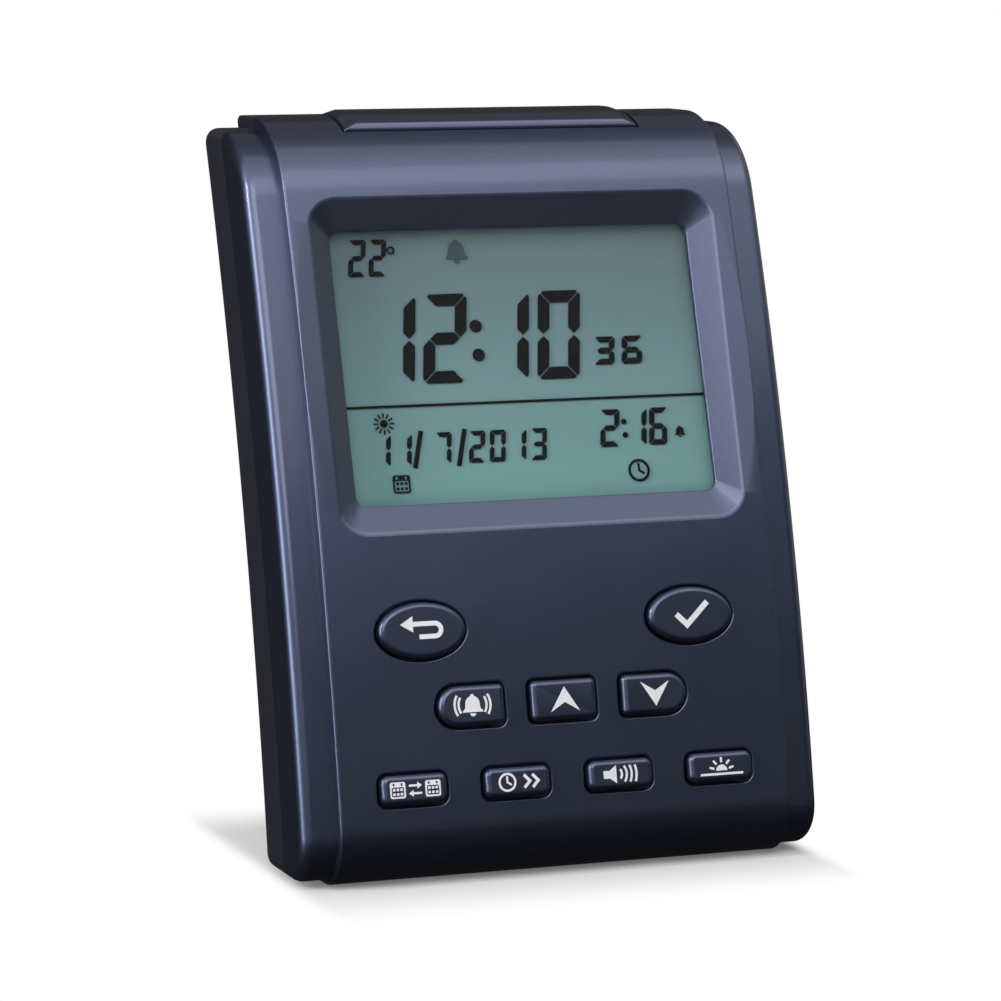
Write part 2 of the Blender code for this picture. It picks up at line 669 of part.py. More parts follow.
KEY_PLAN = {
    "exit_key": (oval, -OVAL_X, OVAL_Z),
    "set_key": (oval, OVAL_X, OVAL_Z),
    "alarm_key": (left_arrow, -ARROW_X, ARROW_Z),
    "up_key": (middle_arrow, 0.0, ARROW_Z),
    "down_key": (right_arrow, ARROW_X, ARROW_Z),
    "calendar_key": (small, -SMALL_OUTER_X, SMALL_Z),
    "iqamah_key": (small, -SMALL_INNER_X, SMALL_Z),
    "sound_key": (small, SMALL_INNER_X, SMALL_Z),
    "azan_key": (small, SMALL_OUTER_X, SMALL_Z),
}


def window_outline(level, grow=0.0):
    """The recess at a level below its mouth: it shrinks evenly to the viewing edge."""
    share = min(-level / RECESS_DEPTH, 1.0)
    width = RECESS_WIDTH + (VIEW_WIDTH - RECESS_WIDTH) * share + 2 * grow
    height = RECESS_HEIGHT + (VIEW_HEIGHT - RECESS_HEIGHT) * share + 2 * grow
    radius = RECESS_CORNER + (VIEW_CORNER - RECESS_CORNER) * share + grow
    return at_level(shifted(rounded_rectangle(width, height, radius, 5), 0, VIEW_RISE * share), level)


def front_case():
    """The front shell: window funnel, key openings, posts and the mouth for the push bar."""
    case = start_shell("front_case", LACQUER, SEAM_DEPTH, -CASE_WIDTH)
    funnel = loft([window_outline(-FUNNEL_ROOT, FUNNEL_WALL),
                   window_outline(VIEW_LEVEL, FUNNEL_WALL),
                   window_outline(FUNNEL_LEVEL, FUNNEL_WALL)])
    change(case, funnel, "UNION", DISPLAY)
    window = loft([window_outline(OVERRUN), window_outline(VIEW_LEVEL),
                   window_outline(FUNNEL_LEVEL - OVERRUN)])
    change(case, window, "DIFFERENCE", DISPLAY)
    ear_bosses = cones(EAR_STATIONS, TAPPER_HEAD_RADIUS, TAPPER_HEAD_RADIUS, FRAME_FRONT + SEAT, OVERRUN, 12)
    change(case, within_wall(ear_bosses, DISPLAY), "UNION", DISPLAY)
    ear_holes = screw_holes(EAR_STATIONS, FRAME_FRONT - SEAT, FRAME_FRONT + TAPPER_BITE + 2 * SEAT)
    change(case, ear_holes, "DIFFERENCE", DISPLAY)
    bosses = cones(BOARD_BOSSES, BOARD_BOSS_RADIUS, BOARD_BOSS_RADIUS, BOARD_FRONT + SEAT, OVERRUN, 12)
    change(case, within_wall(bosses, KEYS), "UNION", KEYS)
    boss_holes = screw_holes(BOARD_BOSSES, BOARD_FRONT - SEAT, BOARD_BACK + TAPPER_BITE + 2 * SEAT)
    change(case, boss_holes, "DIFFERENCE", KEYS)
    for outline, x, z in KEY_PLAN.values():
        opening = [at_level(shifted(outline(0.0), x, key_v(z)), WALL_BACK - OVERRUN),
                   at_level(shifted(outline(0.0), x, key_v(z)), -RIM_CHAMFER),
                   at_level(shifted(outline(RIM_CHAMFER * 3), x, key_v(z)), RIM_CHAMFER * 2)]
        change(case, loft(opening), "DIFFERENCE", KEYS)
    change(case, bar_mouth(), "DIFFERENCE")
    for z in CASE_SCREW_Z:
        for side in (-1, 1):
            frame = screw_frame(side * CASE_SCREW_X, z)
            post = cylinder(POST_RADIUS, SEAT / 2, SEAM_DEPTH, 16)
            change(case, within_wall(post, frame), "UNION", frame)
            change(case, cylinder(CASE_SCREW_RADIUS + SEAT, -SEAT, CASE_SCREW_BITE + SEAT, 12),
                   "DIFFERENCE", frame)
    return case


def screw_frame(x, z):
    """Frame at the seam, square to the case's lean: Z runs forwards into the front post."""
    return tilted(face_y(z, SEAM_DEPTH), z, CASE_SLOPE, x)


def within_wall(posts, frame):
    """Posts or bosses cut off in the middle of the case's walls, behind the band and behind the rails."""
    place(posts, "posts", None, frame, cutters)
    half = WALL / 2
    inset = BAND_STEP + half
    room = side_prism(slab_outline(inset, inset, FOOT_STEP + half, half), CASE_WIDTH / 2 - half)
    place(room, "room", None, SIDEWAYS, cutters)
    band_room = side_prism(slab_outline(half, half, half, BAND_BACK_STEP + half), BAND_WIDTH / 2 - half)
    change(room, band_room, "UNION", SIDEWAYS)
    return change(posts, room, "INTERSECT", SIDEWAYS)


# Where a level case screw would come out of the back
SCREW_BACK = -(CASE_DEPTH - SEAM_DEPTH) * math.cos(CASE_SLOPE)


def bar_mouth():
    """The hole in both shells that the push bar passes through."""
    half = BAR_WIDTH / 2 + RUNNING
    return box((-half, BAR_FRONT_Y - RUNNING, BAR_SKIRT_Z - BAR_WALL),
               (half, BAR_BACK_Y + RUNNING, CASE_HEIGHT + OVERRUN))


def bay_half():
    """Half sizes of the battery bay's hollow along X and up the back."""
    return (CELL_LENGTH / 2 + BAY_END_ROOM, 2 * CELL_RADIUS + 1.5 * CELL_PLAY)


def cell_vs():
    """Heights up the back of the upper and the lower cell."""
    pitch = CELL_RADIUS + CELL_PLAY / 4
    return (BAY_V + pitch, BAY_V - pitch)


def bay_wire_stations():
    """Where the wires of the two left contacts pass through the bay's floor, the upper one first."""
    return [(BAY_WIRE_INSET - bay_half()[0], v) for v in cell_vs()]


BACK_LEVEL = -CASE_DEPTH * math.cos(KEY_LEAN)
DOOR_INNER = BACK_LEVEL + DOOR_THICKNESS
CELL_LEVEL = DOOR_INNER + CELL_PLAY + CELL_RADIUS
BAY_FLOOR = CELL_LEVEL + CELL_RADIUS + SEAT
CONTACT_TOP = CELL_LEVEL + CONTACT_HEIGHT / 2
DOOR_HALF = (bay_half()[0] + DOOR_LAP, bay_half()[1] + DOOR_LAP)
DOOR_BOTTOM_V = BAY_V - DOOR_HALF[1]
DOOR_TOP_V = BAY_V + DOOR_HALF[1]


def add_bay(cover):
    """Battery bay: a box behind the back wall, its hollow, and the seat of the door."""
    half_x, half_v = bay_half()
    block = box((-half_x - BAY_WALL, BAY_V - half_v - BAY_WALL, BACK_LEVEL + BACK_EDGE / 2),
                (half_x + BAY_WALL, BAY_V + half_v + BAY_WALL, BAY_FLOOR + BAY_WALL))
    change(cover, block, "UNION", KEYS)
    pad = box((-DOOR_HALF[0] - BAY_WALL, DOOR_BOTTOM_V - BAY_WALL, BACK_LEVEL + DOOR_THICKNESS / 2),
              (DOOR_HALF[0] + BAY_WALL, DOOR_TOP_V + BAY_WALL, DOOR_INNER + SEAT + DOOR_LEDGE))
    change(cover, pad, "UNION", KEYS)
    hollow = box((-half_x, BAY_V - half_v, BACK_LEVEL - OVERRUN), (half_x, BAY_V + half_v, BAY_FLOOR))
    change(cover, hollow, "DIFFERENCE", KEYS)
    seat = rounded_rectangle(2 * (DOOR_HALF[0] + RUNNING), 2 * (DOOR_HALF[1] + RUNNING), DOOR_CORNER)
    change(cover, plate(shifted(seat, 0, BAY_V), BACK_LEVEL - OVERRUN, DOOR_INNER + SEAT), "DIFFERENCE", KEYS)
    slot_half = DOOR_HOOK_WIDTH / 2 + RUNNING
    for x in (-DOOR_HOOK_X, DOOR_HOOK_X):
        slot_low = DOOR_BOTTOM_V - DOOR_HOOK_LENGTH - RUNNING
        slot = box((x - slot_half, slot_low, DOOR_INNER - DOOR_HOOK_THICKNESS - SEAT),
                   (x + slot_half, DOOR_BOTTOM_V + DOOR_HOOK_LENGTH, DOOR_INNER + DOOR_HOOK_LENGTH))
        change(cover, slot, "DIFFERENCE", KEYS)
    wire_holes = cones(bay_wire_stations(), BAY_WIRE_HOLE, BAY_WIRE_HOLE, BAY_FLOOR - SEAT,
                       BAY_FLOOR + BAY_WALL + SEAT, 8)
    change(cover, wire_holes, "DIFFERENCE", KEYS)


LEG_OUTER = LEG_INNER + 2 * LEG_ARM_WIDTH
FOLDED_LEAN = math.asin((LEG_PIVOT_Y - (face_y(0.0, CASE_DEPTH) - LEG_PIVOT_SINK)) / LEG_LENGTH)


def pivot_frame(lean=0.0):
    """Frame on the leg's pivot: X along the pins, Y up the back, Z forwards, turned by a lean."""
    return tilted(LEG_PIVOT_Y, LEG_PIVOT_Z, lean)


CHANNEL_INSIDE = LEG_THICKNESS / 2 + SEAT
CHANNEL_TOP = LEG_HEEL + 2 * SEAT
CHANNEL_LOW = -LEG_LENGTH - OVERRUN
CHANNEL_OUTSIDE = -LEG_PIVOT_SINK - OVERRUN
FOOT_ROOM_TOP = -LEG_LENGTH + LEG_FOOT_HEIGHT + CHANNEL_PLAY
CHANNEL_HALF = LEG_OUTER / 2 + CHANNEL_PLAY


def arm_sides():
    """Near and far sides of the channel of each arm."""
    inner = LEG_INNER / 2 - CHANNEL_PLAY
    return [(-CHANNEL_HALF, -inner), (inner, CHANNEL_HALF)]


def add_channel(cover):
    """Lining of the channel that the folded leg lies in."""
    frame = pivot_frame(FOLDED_LEAN)
    skin = -LEG_PIVOT_SINK + BACK_EDGE / 2
    floor = CHANNEL_INSIDE + CHANNEL_FLOOR
    for near, far in arm_sides():
        lining = box((near - CHANNEL_FLOOR, FOOT_ROOM_TOP, skin),
                     (far + CHANNEL_FLOOR, CHANNEL_TOP + CHANNEL_FLOOR, floor))
        change(cover, lining, "UNION", frame)
    lowest = -(LEG_PIVOT_Z - WALL / 2) / math.cos(FOLDED_LEAN)
    foot_lining = box((-CHANNEL_HALF - CHANNEL_FLOOR, lowest, skin),
                      (CHANNEL_HALF + CHANNEL_FLOOR, FOOT_ROOM_TOP + CHANNEL_FLOOR, floor))
    change(cover, foot_lining, "UNION", frame)


def cut_channel(cover):
    """The channel itself: two arm grooves, the room for the foot and the holes for the pins."""
    frame = pivot_frame(FOLDED_LEAN)
    for near, far in arm_sides():
        groove = box((near, CHANNEL_LOW, CHANNEL_OUTSIDE), (far, CHANNEL_TOP, CHANNEL_INSIDE))
        change(cover, groove, "DIFFERENCE", frame)
    foot_room = box((-CHANNEL_HALF, CHANNEL_LOW, CHANNEL_OUTSIDE),
                    (CHANNEL_HALF, FOOT_ROOM_TOP, CHANNEL_INSIDE))
    change(cover, foot_room, "DIFFERENCE", frame)
    reach = LEG_OUTER / 2 + PIN_LENGTH + SEAT
    pins = cylinder(PIN_RADIUS + PIN_PLAY, -reach, reach, 12)
    change(cover, pins, "DIFFERENCE", frame @ Matrix.Rotation(math.pi / 2, 4, "Y"))


def rear_cover():
    """The rear shell: battery bay, leg channel, speaker grille, screw wells and the bar's mouth."""
    cover = start_shell("rear_cover", REAR_PLASTIC, SEAM_DEPTH + SEAT, 2 * CASE_WIDTH)
    add_channel(cover)
    add_bay(cover)
    cut_channel(cover)
    for z in CASE_SCREW_Z:
        for side in (-1, 1):
            frame = screw_frame(side * CASE_SCREW_X, z)
            change(cover, cylinder(POST_RADIUS, SCREW_BACK + WALL / 2, -SEAT - SEAT / 2, 16), "UNION", frame)
            bore = cylinder(CASE_SCREW_RADIUS + SEAT, -POST_FLOOR - OVERRUN, SEAT, 12)
            change(cover, bore, "DIFFERENCE", frame)
            change(cover, cylinder(CASE_SCREW_HEAD_RADIUS + SEAT, SCREW_BACK - OVERRUN, -POST_FLOOR, 16),
                   "DIFFERENCE", frame)
    ring_outer = SPEAKER_RADIUS + RUNNING + SPEAKER_RING_WALL
    ring_inner = SPEAKER_RADIUS + RUNNING
    ring_top = WALL + SPEAKER_RING_HEIGHT
    ring = turned([(ring_inner, WALL / 2), (ring_outer, WALL / 2),
                   (ring_outer, ring_top), (ring_inner, ring_top)])
    change(cover, ring, "UNION", SPEAKER)
    for i in range(GRILLE_SLOTS):
        x = (i - (GRILLE_SLOTS - 1) / 2) * GRILLE_PITCH
        length = 2 * math.sqrt(GRILLE_RADIUS ** 2 - x ** 2)
        slot = shifted(rounded_rectangle(GRILLE_SLOT, length, GRILLE_CORNER, 2), x, 0)
        change(cover, plate(slot, -OVERRUN, WALL + SPEAKER_FLANGE / 2), "DIFFERENCE", SPEAKER)
    change(cover, bar_mouth(), "DIFFERENCE")
    board_back = SNOOZE_BOARD_BACK_Y + SEAT
    wall_y = face_y(SNOOZE_BOSS_Z, CASE_DEPTH) - WALL / 2
    away = Matrix.Translation((0, 0, SNOOZE_BOSS_Z)) @ Matrix.Rotation(-math.pi / 2, 4, "X")
    stations = [(-SNOOZE_BOSS_X, 0), (SNOOZE_BOSS_X, 0)]
    bosses = cones(stations, SNOOZE_BOSS_RADIUS, SNOOZE_BOSS_RADIUS, board_back, wall_y, 12)
    change(cover, bosses, "UNION", away)
    change(cover, screw_holes(stations, board_back - SEAT, board_back + TAPPER_BITE / 2), "DIFFERENCE", away)
    return cover


def keys():
    """Each key is a cap on a flange; its origin is on its own press axis."""
    for name, (outline, x, z) in KEY_PLAN.items():
        cap = [at_level(outline(KEY_FLANGE), FLANGE_BOTTOM),
               at_level(outline(KEY_FLANGE), FLANGE_TOP),
               at_level(outline(-RUNNING), FLANGE_TOP),
               at_level(outline(-RUNNING), KEY_RISE - KEY_EDGE),
               at_level(outline(-RUNNING - KEY_ROUND), KEY_RISE - KEY_ROUND),
               at_level(outline(-RUNNING - KEY_EDGE), KEY_RISE)]
        key = place(loft(cap), name, KEY_PLASTIC, KEYS @ Matrix.Translation((x, key_v(z), 0)))
        smooth(key, 30)


def display_stack():
    """Lens, two glasses and the light guide, all on the viewing edge's centre."""
    seat = DISPLAY @ Matrix.Translation((0, VIEW_RISE, 0))
    lens = rounded_rectangle(VIEW_WIDTH + 2 * LENS_LAP, VIEW_HEIGHT + 2 * LENS_LAP, VIEW_CORNER)
    place(plate(lens, LENS_BACK, LENS_FRONT), "window_lens", CLEAR_PLASTIC, seat)
    half_x = STACK_WIDTH / 2
    half_v = STACK_HEIGHT / 2
    front_glass = box((-half_x, -half_v, GLASS_MIDDLE), (half_x, half_v, GLASS_FRONT))
    place(front_glass, "lcd_front_glass", DISPLAY_GLASS, seat)
    rear_glass = box((-half_x, -half_v - GLASS_LEDGE, REAR_GLASS_BACK), (half_x, half_v, REAR_GLASS_FRONT))
    place(rear_glass, "lcd_rear_glass", REAR_GLASS, seat)
    backlight = box((-half_x, -half_v, BACKLIGHT_BACK), (half_x, half_v, BACKLIGHT_FRONT))
    place(backlight, "lcd_backlight", WHITE_PLASTIC, seat)
    display_frame(seat, half_x, half_v)


def display_frame(seat, half_x, half_v):
    """Tray behind the glasses: side walls, an open middle, and four ears screwed to the front case."""
    wall = FRAME_WALL + SEAT
    frame = box((-half_x - wall, -half_v - wall, FRAME_BACK),
                (half_x + wall, half_v + wall, REAR_GLASS_FRONT))
    place(frame, "lcd_frame", WHITE_PLASTIC, seat)
    change(frame, box((-half_x - SEAT, -half_v - SEAT, FRAME_FRONT), (half_x + SEAT, half_v + SEAT, OVERRUN)),
           "DIFFERENCE", seat)
    ledge_gap = box((-half_x - SEAT, -half_v - wall - OVERRUN, BACKLIGHT_FRONT - SEAT),
                    (half_x + SEAT, -half_v + SEAT, OVERRUN))
    change(frame, ledge_gap, "DIFFERENCE", seat)
    open_x = half_x - FRAME_RIM
    open_v = half_v - FRAME_RIM
    middle = box((-open_x, -open_v, FRAME_BACK - OVERRUN), (open_x, open_v, FRAME_FRONT + OVERRUN))
    change(frame, middle, "DIFFERENCE", seat)
    for sx in (-1, 1):
        for sv in (-1, 1):
            arm_x = sx * (half_x + wall / 2)
            x_near = min(arm_x, sx * FRAME_EAR_X)
            x_far = max(arm_x, sx * FRAME_EAR_X)
            ear = box((x_near, sv * FRAME_EAR_V - FRAME_EAR_RADIUS, FRAME_BACK),
                      (x_far, sv * FRAME_EAR_V + FRAME_EAR_RADIUS, FRAME_FRONT))
            change(frame, ear, "UNION", seat)
    stations = [(sx * FRAME_EAR_X, sv * FRAME_EAR_V) for sx in (-1, 1) for sv in (-1, 1)]
    ends = cones(stations, FRAME_EAR_RADIUS, FRAME_EAR_RADIUS, FRAME_BACK, FRAME_FRONT, 16)
    change(frame, ends, "UNION", seat)
    holes = screw_holes(stations, FRAME_BACK - OVERRUN, FRAME_FRONT + OVERRUN)
    change(frame, holes, "DIFFERENCE", seat)
    tappers("frame_screw", stations, FRAME_BACK, FRAME_FRONT + SEAT, seat)


def screw(name, matrix, radius, head_radius, head_height, head_level, tip_level, segments):
    """A pan head screw whose shank runs up Z; its head hangs under head_level."""
    top = head_level - head_height
    profile = [(0.0, tip_level), (radius / 3, tip_level), (radius, tip_level - radius), (radius, head_level),
               (head_radius, head_level), (head_radius, head_level - head_height / 2),
               (head_radius - head_height / 2, top), (0.0, top)]
    return smooth(place(turned(profile, segments), name, STEEL, matrix))


def tappers(name, stations, head_level, bite_level, matrix):
    """Small screws at several stations; their heads lie under head_level."""
    for number, (x, y) in enumerate(stations, 1):
        at = matrix @ Matrix.Translation((x, y, 0))
        screw(f"{name}_{number}", at, TAPPER_RADIUS, TAPPER_HEAD_RADIUS, TAPPER_HEAD, head_level - SEAT,
              bite_level + TAPPER_BITE, 8)


def keypad():
    """Rubber sheet with a hollow dome under each key, then the main board and its parts."""
    stations = [(x, key_v(z)) for outline, x, z in KEY_PLAN.values()]
    low_v = key_v(SMALL_Z) - SMALL_SIZE[1] / 2 - MEMBRANE_MARGIN
    high_v = key_v(OVAL_Z) + OVAL_SIZE[1] / 2 + MEMBRANE_MARGIN
    half = MEMBRANE_WIDTH / 2
    sheet = box((-half, low_v, MEMBRANE_BOTTOM), (half, high_v, MEMBRANE_TOP))
    place(sheet, "keypad_membrane", RUBBER, KEYS)
    domes = cones(stations, DOME_RADIUS, DOME_TOP_RADIUS, MEMBRANE_TOP - SEAT, DOME_TOP, 12)
    change(sheet, domes, "UNION", KEYS)
    inside = cones(stations, DOME_RADIUS - DOME_WALL, DOME_TOP_RADIUS - DOME_WALL, MEMBRANE_BOTTOM - OVERRUN,
                   DOME_TOP - DOME_WALL, 10)
    change(sheet, inside, "DIFFERENCE", KEYS)
    half = BOARD_WIDTH / 2
    board = box((-half, BOARD_BOTTOM_V, BOARD_BACK), (half, BOARD_TOP_V, BOARD_FRONT))
    place(board, "main_board", BOARD_GREEN, KEYS)
    change(board, screw_holes(BOARD_BOSSES, BOARD_BACK - OVERRUN, BOARD_FRONT + OVERRUN), "DIFFERENCE", KEYS)
    tappers("board_screw", BOARD_BOSSES, BOARD_BACK, BOARD_BACK, KEYS)


CHIP_RADIUS = 6.5 * MM
CHIP_CROWN_RADIUS = 3.6 * MM
CHIP_HEIGHT = 1.2 * MM
CHIP_X = -6.0 * MM
CHIP_DROP = 8.5 * MM
CAPACITOR_RADIUS = 2.5 * MM
CAPACITOR_HEIGHT = 5.0 * MM
CAPACITOR_X = 14.0 * MM
CRYSTAL_SIZE = (6.0 * MM, 2.0 * MM, 2.0 * MM)
CRYSTAL_X = -22.0 * MM
CRYSTAL_DROP = 7.0 * MM
CRYSTAL_EDGE = 0.4 * MM
THERMISTOR_RADIUS = 1.1 * MM
THERMISTOR_TIP_RADIUS = 0.7 * MM
THERMISTOR_SIDE = 10.5 * MM
THERMISTOR_DROP = 5.0 * MM


def board_parts():
    level = BOARD_BACK - SEAT
    chip_at = (CHIP_X, BOARD_TOP_V - CHIP_DROP)
    chip = cones([chip_at], CHIP_CROWN_RADIUS, CHIP_RADIUS, level - CHIP_HEIGHT, level, 16)
    smooth(place(chip, "chip_cover", EPOXY, KEYS))
    v = BOARD_TOP_V - CRYSTAL_DROP
    can = cones([(CAPACITOR_X, v)], CAPACITOR_RADIUS, CAPACITOR_RADIUS, level - CAPACITOR_HEIGHT, level, 16)
    smooth(place(can, "capacitor", CAPACITOR_SLEEVE, KEYS))
    length, width, height = CRYSTAL_SIZE
    crystal = box((CRYSTAL_X - length / 2, v - width / 2, level - height),
                  (CRYSTAL_X + length / 2, v + width / 2, level))
    place(bevel(crystal, CRYSTAL_EDGE, 1), "crystal", NICKEL, KEYS)
    tip = level - 2 * THERMISTOR_RADIUS
    bead_at = (BOARD_WIDTH / 2 - THERMISTOR_SIDE, BOARD_TOP_V - THERMISTOR_DROP)
    bead = cones([bead_at], THERMISTOR_TIP_RADIUS, THERMISTOR_RADIUS, tip, level, 10)
    smooth(place(bead, "thermistor", EPOXY, KEYS))


def bar_section(rise, x):
    """Side outline of the push bar at one place across: it lies above the shoulder by its rise."""
    start = math.acos(BAR_FORWARD / TOP_SHOULDER)
    first = (BAR_FRONT_Y, SHOULDER_CENTRE[1] + TOP_SHOULDER * math.sin(start) + BAR_LIP)
    rise_angle = start + rise / TOP_SHOULDER
    points = [(BAR_FRONT_Y, BAR_SKIRT_Z), first]
    points += arc(SHOULDER_CENTRE, TOP_SHOULDER + rise, rise_angle, math.pi / 2, 5)
    points += [(BAR_BACK_Y - rise, CASE_HEIGHT + rise), (BAR_BACK_Y, CASE_HEIGHT + BAR_LIP)]
    points += [(BAR_BACK_Y, BAR_SKIRT_Z)]
    return [(x, y, z) for y, z in points]


def snooze():
    """The push bar, hollow below, and the small switch that it works."""
    half = BAR_WIDTH / 2
    crest = half - BAR_END_SLOPE
    bar = loft([bar_section(BAR_LIP, -half), bar_section(BAR_RISE, -crest), bar_section(BAR_RISE, crest),
                bar_section(BAR_LIP, half)])
    place(bar, "snooze_bar", LACQUER, Matrix.Identity(4))
    hollow_top = CASE_HEIGHT - 2 * BAR_WALL
    hollow = box((-half + BAR_WALL, BAR_FRONT_Y + 3 * BAR_WALL, BAR_SKIRT_Z - OVERRUN),
                 (half - BAR_WALL, BAR_BACK_Y - BAR_WALL, hollow_top))
    change(bar, hollow, "DIFFERENCE")
    tab_top = CASE_HEIGHT - WALL - SEAT
    for side in (-1, 1):
        edges = sorted((side * (half - BAR_WALL / 2), side * (half + BAR_TAB_WIDTH)))
        tab = box((edges[0], BAR_BACK_Y - BAR_TAB_LENGTH, tab_top - BAR_TAB_HEIGHT),
                  (edges[1], BAR_BACK_Y - SEAT, tab_top))
        change(bar, tab, "UNION")
    switch_y = SNOOZE_BOARD_BACK_Y - SNOOZE_BOARD_SIZE[1] - SEAT - SWITCH_SIZE[1] / 2
    rib = box((-BAR_RIB_SIZE / 2, switch_y - BAR_RIB_SIZE / 4, BAR_RIB_Z),
              (BAR_RIB_SIZE / 2, switch_y + BAR_RIB_SIZE / 2, hollow_top + BAR_WALL / 2))
    change(bar, rib, "UNION")
    smooth(bar, 20)
    front_y = SNOOZE_BOARD_BACK_Y - SNOOZE_BOARD_SIZE[1]
    board = box((-SNOOZE_BOARD_SIZE[0] / 2, front_y, SNOOZE_BOARD_Z),
                (SNOOZE_BOARD_SIZE[0] / 2, SNOOZE_BOARD_BACK_Y, SNOOZE_BOARD_Z + SNOOZE_BOARD_SIZE[2]))
    place(board, "snooze_board", BOARD_GREEN, Matrix.Identity(4))
    away = Matrix.Translation((0, 0, SNOOZE_BOSS_Z)) @ Matrix.Rotation(-math.pi / 2, 4, "X")
    stations = [(-SNOOZE_BOSS_X, 0), (SNOOZE_BOSS_X, 0)]
    change(board, screw_holes(stations, front_y - OVERRUN, SNOOZE_BOARD_BACK_Y + OVERRUN), "DIFFERENCE", away)
    shank = SNOOZE_BOARD_BACK_Y + TAPPER_BITE / 2 - TAPPER_BITE - SEAT
    tappers("snooze_screw", stations, front_y, shank, away)
    body = box((-SWITCH_SIZE[0] / 2, front_y - SEAT - SWITCH_SIZE[1], SWITCH_TOP_Z - SWITCH_SIZE[2]),
               (SWITCH_SIZE[0] / 2, front_y - SEAT, SWITCH_TOP_Z))
    place(body, "snooze_switch", EPOXY, Matrix.Identity(4))
    at = Matrix.Translation((0, switch_y, 0))
    well_floor = SWITCH_TOP_Z - PLUNGER_DEPTH - BAR_TRAVEL
    well = cylinder(PLUNGER_RADIUS + SEAT, well_floor, SWITCH_TOP_Z + OVERRUN, 12)
    change(body, well, "DIFFERENCE", at)
    plunger = cylinder(PLUNGER_RADIUS, SWITCH_TOP_Z - PLUNGER_DEPTH + SEAT, BAR_RIB_Z - SEAT, 16)
    smooth(place(plunger, "snooze_plunger", WHITE_PLASTIC, at))


def speaker():
    """Basket, cone and magnet, face down on the grille inside the ring wall."""
    face = WALL + SEAT
    deep = face + SPEAKER_CUP_DEPTH
    metal = SPEAKER_METAL
    basket = turned([(SPEAKER_RADIUS, face), (SPEAKER_RADIUS, face + SPEAKER_FLANGE),
                     (SPEAKER_CUP_RADIUS + metal, face + SPEAKER_FLANGE),
                     (SPEAKER_CUP_RADIUS, deep), (CUP_HOLE_RADIUS, deep), (CUP_HOLE_RADIUS, deep - metal),
                     (SPEAKER_CUP_RADIUS - metal, deep - metal), (SPEAKER_CUP_RADIUS, face)])
    smooth(place(basket, "speaker_basket", STEEL, SPEAKER))
    rim = SPEAKER_CUP_RADIUS - SEAT - metal
    crown = deep - metal - SEAT
    cone = turned([(0.0, crown - CONE_THICKNESS), (CONE_CAP_RADIUS, crown - CONE_THICKNESS),
                   (rim, face + CONE_THICKNESS), (rim, face + 2 * CONE_THICKNESS),
                   (CONE_CAP_RADIUS, crown), (0.0, crown)])
    smooth(place(cone, "speaker_cone", CONE_PAPER, SPEAKER))
    magnet = cylinder(MAGNET_RADIUS, deep + SEAT, deep + SEAT + MAGNET_THICKNESS)
    smooth(place(bevel(magnet, MAGNET_EDGE, 1), "speaker_magnet", FERRITE, SPEAKER))


def batteries():
    """Two slim cells end to end with their contacts, upper one pointing right."""
    body = CELL_LENGTH - CELL_NUB_LENGTH
    start = -CELL_LENGTH / 2
    shoulder = start + body
    profile = [(0.0, start), (CELL_RADIUS - CELL_EDGE, start), (CELL_RADIUS, start + CELL_EDGE),
               (CELL_RADIUS, shoulder - CELL_EDGE), (CELL_RADIUS - CELL_EDGE, shoulder),
               (CELL_NUB_RADIUS, shoulder), (CELL_NUB_RADIUS, start + CELL_LENGTH),
               (0.0, start + CELL_LENGTH)]
    upper, lower = cell_vs()
    for name, side, v in (("battery_1", 1, upper), ("battery_2", -1, lower)):
        at = KEYS @ Matrix.Translation((0, v, CELL_LEVEL))
        turn = Matrix.Rotation(side * math.pi / 2, 4, "Y")
        smooth(place(turned(profile), name, CELL_JACKET, at @ turn))
    half_x = bay_half()[0]
    plate_out = half_x - SEAT
    plate_in = plate_out - CONTACT_THICKNESS
    low = CELL_LEVEL - CONTACT_HEIGHT / 2
    reach = CELL_LENGTH / 2 + SEAT
    foot = CONTACT_WIDTH / 2 - CONTACT_THICKNESS
    crest = CONTACT_WIDTH / 6

    def contact(name, side, centres):
        """A strip against the bay's end, with a pressed leaf towards each cell."""
        top = max(centres) + CONTACT_WIDTH / 2
        bottom = min(centres) - CONTACT_WIDTH / 2
        strip = [(side * plate_out, bottom), (side * plate_out, top), (side * plate_in, top)]
        for centre in sorted(centres, reverse=True):
            strip += [(side * plate_in, centre + foot), (side * reach, centre + crest),
                      (side * reach, centre - crest), (side * plate_in, centre - foot)]
        strip += [(side * plate_in, bottom)]
        return place(plate(strip, low, CONTACT_TOP), name, NICKEL, KEYS)

    contact("contact_bridge", 1, [upper, lower])
    contact("contact_positive", -1, [lower])
    contact("contact_negative", -1, [upper])


def battery_door():
    """The door turns on two lower hooks about its outer edge; finger grooves mark its upper end."""
    pivot = KEYS @ Matrix.Translation((0, DOOR_BOTTOM_V, BACK_LEVEL))
    half_x, half_v = DOOR_HALF
    outline = shifted(rounded_rectangle(2 * half_x, 2 * half_v, DOOR_CORNER), 0, half_v)
    door = place(plate(outline, 0.0, DOOR_THICKNESS), "battery_door", REAR_PLASTIC, pivot)
    for side in (-1, 1):
        x = side * DOOR_HOOK_X
        hook = box((x - DOOR_HOOK_WIDTH / 2, -DOOR_HOOK_LENGTH, DOOR_THICKNESS - DOOR_HOOK_THICKNESS),
                   (x + DOOR_HOOK_WIDTH / 2, DOOR_THICKNESS, DOOR_THICKNESS))
        change(door, hook, "UNION", pivot)
    for i in range(DOOR_GROOVES):
        v = 2 * half_v - DOOR_LAP - (i + 1) * DOOR_GROOVE_PITCH
        groove = box((-DOOR_LATCH_WIDTH, v - SEAT, -OVERRUN), (DOOR_LATCH_WIDTH, v + SEAT, SEAT))
        change(door, groove, "DIFFERENCE", pivot)
    return door


